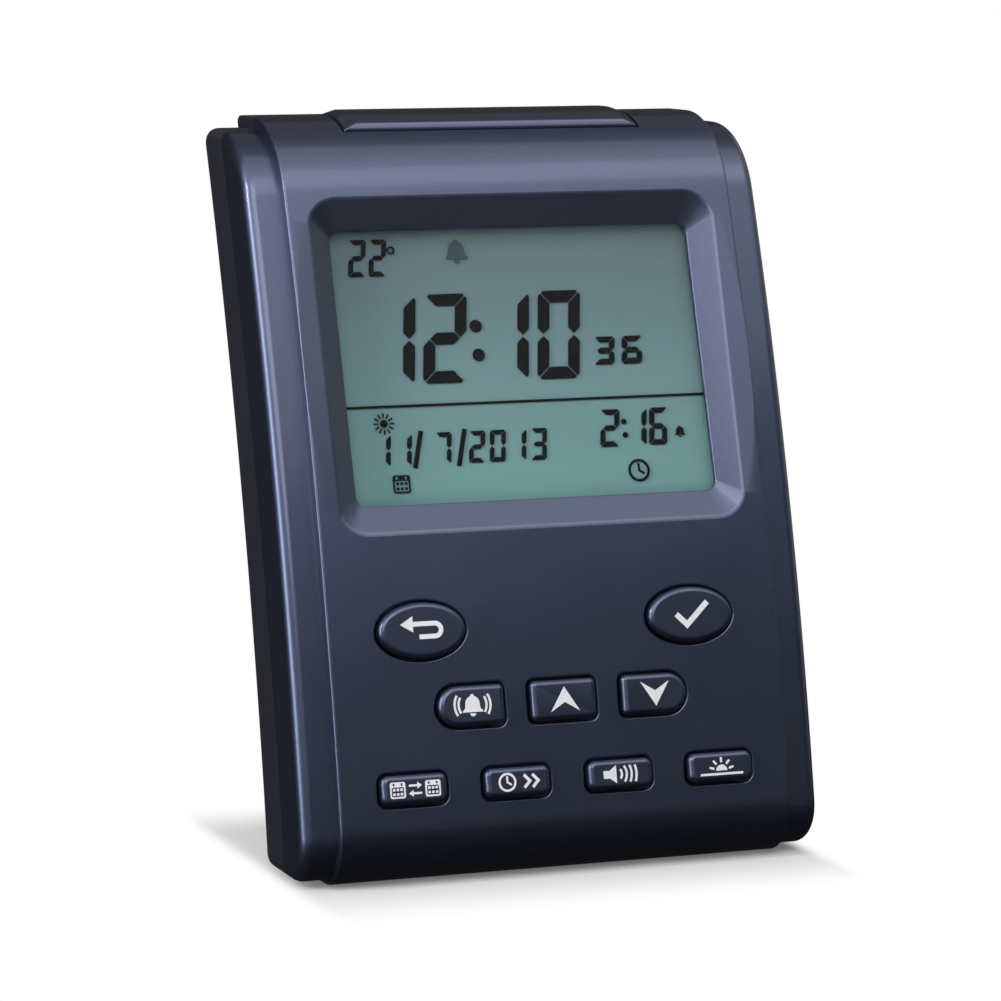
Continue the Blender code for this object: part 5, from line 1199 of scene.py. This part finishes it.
# Push bar
def shoulder_point(u):
    """A point of the case's top seen from the side, and its outward direction, u along it from the front."""
    start = acos((SHOULDER_Y - BAR_FRONT_Y) / TOP_SHOULDER)
    round_length = TOP_SHOULDER * (pi / 2 - start)
    if u < round_length:
        t = start + u / TOP_SHOULDER
        out = Vector((0, -cos(t), sin(t)))
        return Vector((0, SHOULDER_Y, SHOULDER_Z)) + out * TOP_SHOULDER, out
    return Vector((0, SHOULDER_Y + u - round_length, CASE_HEIGHT)), Vector((0, 0, 1))


def soft_least(values, softness):
    """The least of some values, eased where two are close."""
    return -softness * log(sum(exp(-(v - min(values)) / softness) for v in values)) + min(values)


def edge_places(length):
    """Places along one side of the bar, close together near its ends."""
    near = [inset for inset, _ in edge_round(BAR_EDGE, QUARTER)]
    near += spread(BAR_STEPS, BAR_EDGE + 0.1 * MM, BAR_END_REACH - MM)
    middle = spread(BAR_STEPS, BAR_END_REACH, length - BAR_END_REACH)
    return near + middle + [length - d for d in reversed(near)]


def snooze_bar():
    """The push bar: it follows the shoulder, with bevelled ends, a crest line and rounded rims."""
    reach = halved(0.0, BAR_BACK_Y, 40, lambda u: shoulder_point(u)[0].y < BAR_BACK_Y)

    def rise(x_end, u):
        ends = min(x_end, 2 * BAR_HALF - x_end)
        sides = min(u, reach - u)
        slope = BAR_RISE - BAR_LIP
        levels = [BAR_LIP + slope * ends / BAR_END_SLOPE, BAR_LIP + slope * sides / BAR_RISE, BAR_RISE]
        rim = BAR_EDGE - min(ends, sides, BAR_EDGE)
        return soft_least(levels, BAR_CREST_SOFTNESS) - BAR_EDGE + sqrt(BAR_EDGE ** 2 - rim ** 2)

    rings = []
    for x in edge_places(2 * BAR_HALF):
        top = []
        for u in edge_places(reach):
            point, out = shoulder_point(u)
            top.append(point + out * rise(x, u))
        ring = [Vector((0, top[0].y, BAR_SKIRT_Z))] + top + [Vector((0, top[-1].y, BAR_SKIRT_Z))]
        rings.append([(x - BAR_HALF, p.y, p.z) for p in ring])
    bar = loft(rings)
    hollow = box((-BAR_HALF + BAR_WALL, BAR_FRONT_Y + 3 * BAR_WALL, BAR_SKIRT_Z - OVERRUN),
                 (BAR_HALF - BAR_WALL, BAR_BACK_Y - BAR_WALL, CASE_HEIGHT - 2 * BAR_WALL))
    combined(bar, "DIFFERENCE", hollow)
    out, back, down = BAR_TAB
    tab_top = CASE_HEIGHT - WALL - SEAT
    tabs = []
    for side in (-1, 1):
        near, far = sorted((side * (BAR_HALF - BAR_WALL / 2), side * (BAR_HALF + out)))
        tabs.append(box((near, BAR_BACK_Y - back, tab_top - down), (far, BAR_BACK_Y - SEAT, tab_top)))
    low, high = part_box("snooze_plunger")
    rib_y = (low.y + high.y) / 2 + MIDDLE_Y
    rib = box((-BAR_RIB / 2, rib_y - BAR_RIB / 4, high.z + SEAT),
              (BAR_RIB / 2, rib_y + BAR_RIB / 2, CASE_HEIGHT - 1.5 * BAR_WALL))
    combined(bar, "UNION", *tabs, rib)
    bar = smoothed(moved(bar), 40, weighted=False)
    piece(bar, "push_bar", LACQUER, "blue_lacquer", "snooze_bar", "snooze_bar")


# Keys and their symbols
def keys():
    for name, symbol in SYMBOLS.items():
        x, v = middle_in(KEYS, name).xy
        flange = -WALL - 2 * SEAT
        levels = [(KEY_FLANGE, flange - KEY_FLANGE_THICKNESS), (KEY_FLANGE, flange), (-KEY_GAP, flange)]
        rounded = edge_round(KEY_EDGE, spread(EDGE_STEPS + 3, 0.0, pi / 2))
        levels += [(-KEY_GAP - inset, KEY_RISE - down) for inset, down in rounded]
        place = TO_ORIGIN @ KEYS @ Matrix.Translation((x, v, 0))
        cap = loft([at_level(key_outline(name, grow), level) for grow, level in levels])
        piece(smoothed(moved(cap, place), 35), name + "_cap", KEY, "key_plastic", name, name)
        printed = flat_print(placed(symbol), KEY_RISE + PRINT_THICKNESS * 0.2)
        piece(moved(printed, place), name + "_symbol", PRINT, "white_plastic", name)


def flat_print(outlines, level):
    """Outlines filled as one thin layer; an outline inside another is a hole."""
    curve = bpy.data.curves.new("print", "CURVE")
    curve.dimensions = "2D"
    curve.fill_mode = "BOTH"
    curve.extrude = PRINT_THICKNESS / 2
    for outline in outlines:
        spline = curve.splines.new("POLY")
        spline.points.add(len(outline) - 1)
        for point, (x, y) in zip(spline.points, outline):
            point.co = (x, y, 0, 1)
        spline.use_cyclic_u = True
    guide = new_object("print", curve)
    mesh = plain_mesh(guide)
    bpy.data.objects.remove(guide, do_unlink=True)
    bpy.data.curves.remove(curve)
    bm = bmesh.new()
    bm.from_mesh(mesh)
    bpy.data.meshes.remove(mesh)
    bmesh.ops.remove_doubles(bm, verts=bm.verts, dist=0.000001)
    bmesh.ops.translate(bm, verts=bm.verts, vec=(0, 0, level + PRINT_THICKNESS / 2))
    return to_object(bm)


def stroke(points, width):
    """The outline of a line of even width with square ends."""
    places = [Vector(point) for point in points]
    runs = [(after - before).normalized() for before, after in zip(places, places[1:])]
    left = []
    right = []
    for here, first, second in zip(places, runs[:1] + runs, runs + runs[-1:]):
        mean = (first + second).normalized()
        side = Vector((-mean.y, mean.x))
        reach = width / 2 / max(0.4, side.dot(Vector((-first.y, first.x))))
        left.append(tuple(here + side * reach))
        right.append(tuple(here - side * reach))
    return left + right[::-1]


def placed(shapes, x=0.0, y=0.0, size=1.0):
    """A symbol drawn in millimetres, at its own place and size."""
    return [[(x + px * size * MM, y + py * size * MM) for px, py in shape] for shape in shapes]


def arrow(points, width, head_width, head_length):
    """A line of even width with an arrowhead at its first point, as one outline."""
    first = Vector(points[0])
    back = (first - Vector(points[1])).normalized()
    side = Vector((-back.y, back.x)) * head_width / 2
    head = [tuple(first + side), tuple(first + back * head_length), tuple(first - side)]
    return stroke(points, width) + head


def ray(angle, start, end, width, y=0.0):
    t = radians(angle)
    return stroke([(r * cos(t), y + r * sin(t)) for r in (start, end)], width)


def bell():
    """A bell with its clapper."""
    side = [(1.9, -1.2), (1.9, -0.95), (1.45, -0.5), (1.35, 0.3)] + bow(1.35, 5, 75, 0, 0.35, 12)
    side += [(0.3, 1.75), (0.3, 2.0)]
    body = side + [(-x, y) for x, y in reversed(side)]
    return [body, bow(0.55, 180, 360, 0.0, -1.42, 12)]


def sounding_bell():
    waves = [stroke(bow(radius, turn - 32, turn + 32, 0.0, 0.1, 12), 0.42)
             for radius in (2.65, 3.4) for turn in (0, 180)]
    return bell() + waves


def arrowhead(up):
    """A notched arrowhead."""
    return [[(x, y * up) for x, y in ((0.0, 2.3), (2.8, -2.2), (0.0, -0.5), (-2.8, -2.2))][::up]]


def calendar_leaf():
    frame = rounded_rectangle(2.9, 2.9, 0.4, 4)
    page = shifted(rounded_rectangle(2.3, 1.7, 0.2, 3), 0.0, -0.3)
    rings = [shifted(rounded_rectangle(0.34, 0.5, 0.1, 2), x, 1.0) for x in (-0.75, 0.75)]
    day = rounded_rectangle(0.46, 0.46, 0.08, 2)
    days = [shifted(day, x, y) for y in (0.1, -0.7) for x in (-0.7, 0.0, 0.7)]
    return [frame, page] + rings + days


def changed_calendar():
    """Two leaves with arrows both ways between them."""
    leaves = [shifted(shape, side * 3.3, 0.0) for side in (-1, 1) for shape in calendar_leaf()]
    lines = [[(0.4 * way, 0.7 * way), (-1.2 * way, 0.7 * way)] for way in (1, -1)]
    return leaves + [arrow(line, 0.38, 1.2, 0.85) for line in lines]


def waiting_dial():
    return [circle(1.7), circle(1.3), stroke([(0.0, 1.05), (0.0, 0.0), (0.8, -0.5)], 0.36)]


def counted_dial():
    """A dial, and two strokes that point on."""
    forward = [stroke([(x, 1.15), (x + 1.1, 0.0), (x, -1.15)], 0.55) for x in (1.0, 2.6)]
    return [shifted(shape, -2.2, 0.0) for shape in waiting_dial()] + forward


def sounding_horn():
    horn = [(-3.5, -0.7), (-2.3, -0.7), (-1.0, -1.65), (-1.0, 1.65), (-2.3, 0.7), (-3.5, 0.7)]
    waves = []
    for radius in (1.35, 2.3, 3.25, 4.2):
        reach = min(38.0, degrees(asin(1.5 / max(radius, 1.5))))
        waves.append(stroke(bow(radius, -reach, reach, -1.3, 0.0, 12), 0.42))
    return [horn] + waves


def rising_sun():
    ground = shifted(rounded_rectangle(8.4, 0.42, 0.12, 3), 0.0, -1.35)
    rays = [ray(angle, 1.5, 2.45, 0.4, -0.75) for angle in (15, 50, 90, 130, 165)]
    return [bow(1.1, 0, 180, 0.0, -0.75, 18), ground] + rays


def small_sun():
    return [circle(0.75)] + [ray(30 * i, 1.05, 2.0, 0.3) for i in range(12)]


HOOK = [(-1.9, 1.15), (2.2, 1.15)] + bow(1.15, 90, -90, 2.2, 0.0)[1:] + [(-0.8, -1.15)]
SYMBOLS = {
    "exit_key": [arrow(HOOK, 0.85, 2.9, 2.4)],
    "set_key": [stroke([(-3.0, 0.1), (-1.0, -1.9), (3.2, 2.1)], 1.05)],
    "alarm_key": sounding_bell(),
    "up_key": arrowhead(1),
    "down_key": arrowhead(-1),
    "calendar_key": changed_calendar(),
    "iqamah_key": counted_dial(),
    "sound_key": sounding_horn(),
    "azan_key": rising_sun(),
}

# Numbers on the display: which of the seven bars are dark, from the top round to the middle
BARS = {
    "0": "abcdef", "1": "bc", "2": "abged", "3": "abgcd", "4": "fgbc", "5": "afgcd", "6": "afgedc",
    "7": "abc", "8": "abcdefg", "9": "abcdfg",
}


def digit(number, width, height, thick):
    """The dark bars of one number: mitred at the corners, pointed at the middle, with thin gaps between."""
    gap = thick * 0.06
    half = thick / 2
    cut = thick * 0.35
    middle = height / 2
    cap = [(cut / 2 + gap, height - cut / 2), (cut + gap, height), (width - cut - gap, height),
           (width - cut / 2 - gap, height - cut / 2), (width - thick - gap, height - thick),
           (thick + gap, height - thick)]
    side = [(width - cut / 2, height - cut / 2 - gap), (width - thick, height - thick - gap),
            (width - thick, middle + half + gap), (width - half, middle + gap), (width, middle + half + gap),
            (width, height - cut - gap)]
    cross = [(half + gap, middle), (thick + gap, middle + half), (width - thick - gap, middle + half),
             (width - half - gap, middle), (width - thick - gap, middle - half), (thick + gap, middle - half)]

    def flipped(outline, across, down):
        return [(width - x if across else x, height - y if down else y) for x, y in outline]

    shapes = {
        "a": cap, "d": flipped(cap, False, True), "g": cross,
        "b": side, "c": flipped(side, False, True),
        "f": flipped(side, True, False), "e": flipped(side, True, True),
    }
    return [shapes[bar] for bar in BARS[number]]


def number_row(text, x, y, width, height, thick, step):
    """A row of numbers that lean to the right."""
    shapes = []
    for place, number in enumerate(text):
        for bar in digit(number, width, height, thick):
            leaning = [(px + LCD_SLANT * (py - height / 2), py) for px, py in bar]
            shapes.append(shifted(leaning, x + place * step, y))
    return shapes


def dots(x, heights, radius):
    return [circle(radius, x, y) for y in heights]


def display():
    """The display's dark shapes, which hang in the gap between the window and the glass."""
    shapes = [circle(0.8 * MM, *DEGREE), circle(0.4 * MM, *DEGREE)] + dots(*COLON) + dots(*NEXT_COLON)
    for text, row in (("22", TEMPERATURE), ("12", HOURS), ("10", MINUTES), ("36", SECONDS), ("11", DAY),
                      ("7", MONTH), ("2013", YEAR), ("2", NEXT_HOUR), ("16", NEXT_MINUTES)):
        shapes += number_row(text, *row)
    _, foot, _, tall, thick, _ = DAY
    ends = ((-DATE_STROKE_LEAN, foot - thick / 2), (DATE_STROKE_LEAN, foot + tall + thick / 2))
    shapes += [stroke([(x + lean, y) for lean, y in ends], thick) for x in DATE_STROKES]
    divider = rounded_rectangle(VIEW_SIZE[0] + 2 * MM, DIVIDER_THICKNESS, 0.1 * MM, 3)
    shapes.append(shifted(divider, *DIVIDER_AT))
    shapes += placed(small_sun(), *SUN_AT) + placed(bell(), *SMALL_BELL)
    shapes += placed(calendar_leaf(), *SMALL_LEAF) + placed(waiting_dial(), *SMALL_DIAL)
    level = -RECESS_DEPTH - FUNNEL_LENGTH - SEAT - LENS_THICKNESS - LCD_GAP - PRINT_THICKNESS
    for name, finish, outlines in (("display_marks", SEGMENT, shapes),
                                   ("display_faint_mark", FAINT, placed(bell(), *FAINT_BELL))):
        marks = moved(flat_print(outlines, level), TO_ORIGIN @ DISPLAY @ MARKS_SHIFT)
        piece(marks, name, finish, "black_epoxy", "case")


# Leg, door and cells
def stand_leg():
    """The folding leg: a broad U of even thickness with soft edges, its heels cut to the channel's floor."""
    frame = pivot_frame(-LEG_REST)
    half_in = LEG_INNER / 2
    half_out = LEG_OUTER / 2
    half_t = LEG_THICKNESS / 2
    foot = -LEG_LENGTH
    side = [(half_in, foot + LEG_FOOT_HEIGHT), (half_in, LEG_HEEL), (half_out, LEG_HEEL), (half_out, foot)]
    outline = side + [(-x, y) for x, y in reversed(side)]
    leg = loft([at_level(outline, -half_t), at_level(outline, half_t)])
    modifier = leg.modifiers.new("edge", "BEVEL")
    modifier.width = LEG_EDGE
    modifier.segments = 5
    modifier.limit_method = "ANGLE"
    modifier.angle_limit = radians(40)
    moved(baked(leg), frame)
    folded = pivot_frame(FOLDED_LEAN)
    trim = box((-LEG_OUTER, foot, half_t), (LEG_OUTER, LEG_LENGTH, half_t + OVERRUN), folded)
    combined(leg, "DIFFERENCE", trim)
    across = frame @ Matrix.Rotation(pi / 2, 4, "Y")
    ends = [sorted((way * (half_out - half_t), way * (half_out + PIN_LENGTH))) for way in (-1, 1)]
    combined(leg, "UNION", *[rods(PIN_RADIUS, low, high, across, 28) for low, high in ends])
    piece(smoothed(moved(leg)), "folding_leg", REAR, "rear_plastic", "stand_leg", "stand_leg")


def battery_door():
    """The door with its rounded outer edge, two lower hooks and finger grooves."""
    half_x, half_v = DOOR_HALF
    pivot = KEYS @ Matrix.Translation((0, DOOR_BOTTOM_V, BACK_LEVEL))
    levels = edge_round(DOOR_EDGE, spread(EDGE_STEPS, pi / 2, 0.0))
    rings = []
    for inset, level in levels + [(0.0, DOOR_THICKNESS)]:
        outline = rounded_rectangle(2 * (half_x - inset), 2 * (half_v - inset), DOOR_CORNER - inset)
        rings.append(at_level(shifted(outline, 0, half_v), level))
    door = loft(rings, pivot)
    half = DOOR_HOOK_WIDTH / 2
    hooks = [box((x - half, -DOOR_HOOK_LENGTH, DOOR_THICKNESS - DOOR_HOOK_THICKNESS),
                 (x + half, DOOR_THICKNESS, DOOR_THICKNESS), pivot) for x in (-DOOR_HOOK_X, DOOR_HOOK_X)]
    combined(door, "UNION", *hooks)
    grooves = []
    for i in range(DOOR_GROOVES):
        v = 2 * half_v - DOOR_LAP - (i + 1) * DOOR_GROOVE_PITCH
        rings = []
        for level, grow in DOOR_GROOVE_SHAPE:
            outline = rounded_rectangle(2 * (DOOR_LATCH + grow), 2 * (SEAT + grow), SEAT * 0.98 + grow, 5)
            rings.append(at_level(shifted(outline, 0, v), level))
        grooves.append(loft(rings, pivot))
    combined(door, "DIFFERENCE", *grooves)
    piece(smoothed(moved(door)), "bay_door", REAR, "rear_plastic", "battery_door", "battery_door")


def cells():
    """Two slim cells: a film jacket with turned-in ends round a bright base, top and nub."""
    for name, side in (("battery_1", 1), ("battery_2", -1)):
        low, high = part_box(name)
        length = high.x - low.x
        top = length - CELL_NUB_LENGTH
        shoulder = CELL_RADIUS - CELL_ROUND
        nub = CELL_NUB_RADIUS - CELL_NUB_ROUND
        profile = [(0.0, CELL_BASE_SINK), (CELL_BASE_RADIUS, CELL_BASE_SINK), (CELL_BASE_LIP, 0.0)]
        profile += bow(CELL_ROUND, -90, 0, shoulder, CELL_ROUND, 6)
        profile += bow(CELL_ROUND, 0, 90, shoulder, top - CELL_ROUND, 6)
        profile += [(CELL_TOP_LIP, top), (CELL_TOP_RADIUS, top - CELL_TOP_SINK),
                    (CELL_NUB_FOOT, top - CELL_TOP_SINK), (CELL_NUB_RADIUS, top - CELL_TOP_SINK / 2)]
        profile += bow(CELL_NUB_ROUND, 0, 90, nub, length - CELL_NUB_ROUND, 4)
        profile.append((0.0, length))
        middle = (low + high) / 2
        turn = Matrix.Rotation(side * pi / 2, 4, "Y") @ Matrix.Translation((0, 0, -length / 2))
        shape = smoothed(moved(turned(profile), Matrix.Translation(middle) @ turn), weighted=False)
        made = piece(shape, name.replace("battery", "slim_cell"), JACKET, "cell_jacket", "case", name)
        made.data.materials.append(NICKEL)
        for face in made.data.polygons:
            if (face.center - middle).yz.length < CELL_BASE_LIP:
                face.material_index = 1


INNER_FINISHES = (
    (LENS, "window_lens"),
    (GROUND, "lcd_front_glass", "lcd_rear_glass"),
    (WHITE, "lcd_backlight", "lcd_frame", "snooze_plunger"),
    (RUBBER, "keypad_membrane"),
    (BOARD, "main_board", "snooze_board"),
    (EPOXY, "chip_cover", "thermistor", "snooze_switch"),
    (SLEEVE, "capacitor"),
    (NICKEL, "crystal", "contact_bridge", "contact_positive", "contact_negative"),
    (STEEL, "speaker_basket"),
    (PAPER, "speaker_cone"),
    (FERRITE, "speaker_magnet"),
    (FOIL, "lcd_flex"),
    (RED_WIRE, "wire_bay_red", "wire_speaker_red", "wire_switch_red"),
    (BLACK_WIRE, "wire_bay_black", "wire_speaker_black", "wire_switch_black"),
)


def inner_finishes():
    """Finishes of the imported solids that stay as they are."""
    for finish, *names in INNER_FINISHES:
        for name in names:
            nodes[name].data.materials[0] = finish


# Studio
def floor():
    """A pale floor that keeps the clock's shadow and turns to plain white away from it."""
    corners = [(x * FLOOR_HALF, y * FLOOR_HALF, -FLOOR_DROP) for x, y in ((-1, -1), (1, -1), (1, 1), (-1, 1))]
    made, tree, shader = new_material("pale_floor")
    mask = use_group(tree, GRAIN, Scale=400.0, Mottle=12.0)["Mask"]
    tone = colour_mix(tree, mask, (0.86, 0.86, 0.86), (0.89, 0.89, 0.89))
    dress(tree, shader, tone, mask, (0.9, 0.9), Specular_IOR_Level=0.2, Emission_Color=(1.0, 1.0, 1.0, 1.0))
    away = object_place(tree)
    for operation, value in (("ABSOLUTE", None), ("SUBTRACT", FOOTPRINT), ("MAXIMUM", (0.0, 0.0, 0.0)),
                             ("DIVIDE", FLOOR_FADE)):
        feeds = {0: away, 1: value} if value else {0: away}
        away = add(tree, "ShaderNodeVectorMath", feeds, operation=operation)[0]
    distance = add(tree, "ShaderNodeVectorMath", {0: away}, operation="LENGTH")["Value"]
    fade = add(tree, "ShaderNodeMapRange", {"Value": distance}, interpolation_type="SMOOTHSTEP")["Result"]
    seen = any_ray(tree, *SEEN_RAYS)
    feed(tree, shader.inputs["Emission Strength"], math_node(tree, "MULTIPLY", seen, FLOOR_GLOW))
    white = add(tree, "ShaderNodeEmission", {})[0]
    share = math_node(tree, "MULTIPLY", seen, fade)
    mixed_end(tree, tree.nodes["Material Output"], share, shader.outputs[0], white)
    card("floor", corners, made)


def surroundings():
    """White where it is seen or mirrored, and a softer level as light."""
    world = bpy.data.worlds.new("studio")
    bpy.context.scene.world = world
    world.use_nodes = True
    tree = world.node_tree
    tree.nodes.clear()
    plain = {"Color": (1.0, 1.0, 1.0, 1.0)}
    light, white = (add(tree, "ShaderNodeBackground", {**plain, "Strength": strength})[0]
                    for strength in (WORLD_LIGHT, 1.0))
    mixed_end(tree, tree.nodes.new("ShaderNodeOutputWorld"), any_ray(tree, *SEEN_RAYS), light, white)


def lamp(name, azimuth, elevation, distance, size, power):
    """A soft box aimed at the clock; azimuth 0 is straight before its face, at -Y, and 90 at -X."""
    data = bpy.data.lights.new(name, "AREA")
    data.shape = "RECTANGLE"
    data.size, data.size_y = size
    data.energy = power
    obj = new_object(name, data)
    turn = radians(azimuth)
    rise = radians(elevation)
    out = Vector((-sin(turn) * cos(rise), -cos(turn) * cos(rise), sin(rise)))
    obj.location = Vector((0, 0, CASE_HEIGHT / 2)) + out * distance
    obj.rotation_euler = (-out).to_track_quat("-Z", "Y").to_euler()


def card(name, corners, finish):
    bm = bmesh.new()
    bm.faces.new([bm.verts.new(corner) for corner in corners])
    sheet = to_object(bm)
    sheet.name = name
    sheet.data.materials.append(finish)
    return sheet


def flag(name, level, corners):
    """A card that only gloss sees, glowing at its level: a painted reflection, darker than the white around
    it, that sets how dark the clock's mirrored surroundings look.
    """
    made, tree, shader = new_material(name)
    glow = add(tree, "ShaderNodeEmission", {"Strength": level})[0]
    feed(tree, tree.nodes["Material Output"].inputs["Surface"], glow)
    tree.nodes.remove(shader)
    sheet = card(name, corners, made)
    sheet.visible_camera = False
    sheet.visible_diffuse = False
    sheet.visible_transmission = False
    sheet.visible_shadow = False


def upright(name, level, start, end, top):
    """A flag that stands on the floor between two points."""
    flag(name, level, [(*start, FLAG_FOOT), (*end, FLAG_FOOT), (*end, top), (*start, top)])


def level_flag(name, level, low, high, z):
    flag(name, level, [(low[0], low[1], z), (high[0], low[1], z), (*high, z), (low[0], high[1], z)])


def camera():
    data = bpy.data.cameras.new("photo_camera")
    data.lens = CAMERA_LENS
    data.sensor_width = 36.0
    obj = new_object("photo_camera", data)
    obj.location = CAMERA_AT
    obj.rotation_euler = Vector(CAMERA_AIM).to_track_quat("-Z", "Y").to_euler()
    bpy.context.scene.camera = obj
    bpy.context.scene.view_settings.view_transform = "Standard"


front_case()
rear_cover()
snooze_bar()
keys()
display()
stand_leg()
battery_door()
cells()
screws()
inner_finishes()
floor()
surroundings()
# Painted reflections: glowing cards seen only in gloss, darker than the white studio, which darken what the
# case and keys mirror
upright("front_flag", 0.05, (-0.25, -1.0), (0.75, -0.25), 0.38)
upright("front_left_flag", 0.2, (-0.75, -0.05), (-0.25, -1.0), 0.38)
upright("left_flag", 0.02, (-0.75, -0.05), (-0.10, 0.85), 0.70)
upright("back_flag", 0.04, (-0.30, 0.90), (1.00, 0.90), 0.75)
upright("right_flag", 0.40, (0.75, -0.25), (1.00, 0.90), 0.75)
level_flag("front_floor_flag", 0.16, (-1.0, -1.2), (1.0, -0.12), FLAG_FOOT)
level_flag("rear_floor_flag", 0.015, (-1.0, -0.12), (1.0, 1.0), FLAG_FOOT)
level_flag("roof_flag", 0.15, (-0.8, 0.05), (0.8, 1.0), 0.75)
lamp("key_light", 20.0, 36.0, 0.9, (0.6, 0.6), 2.4)
lamp("left_strip", 78.0, 12.0, 0.8, (0.035, 0.8), 6.4)
lamp("front_softbox", -20.0, 54.0, 0.8, (0.8, 0.26), 0.8)
camera()
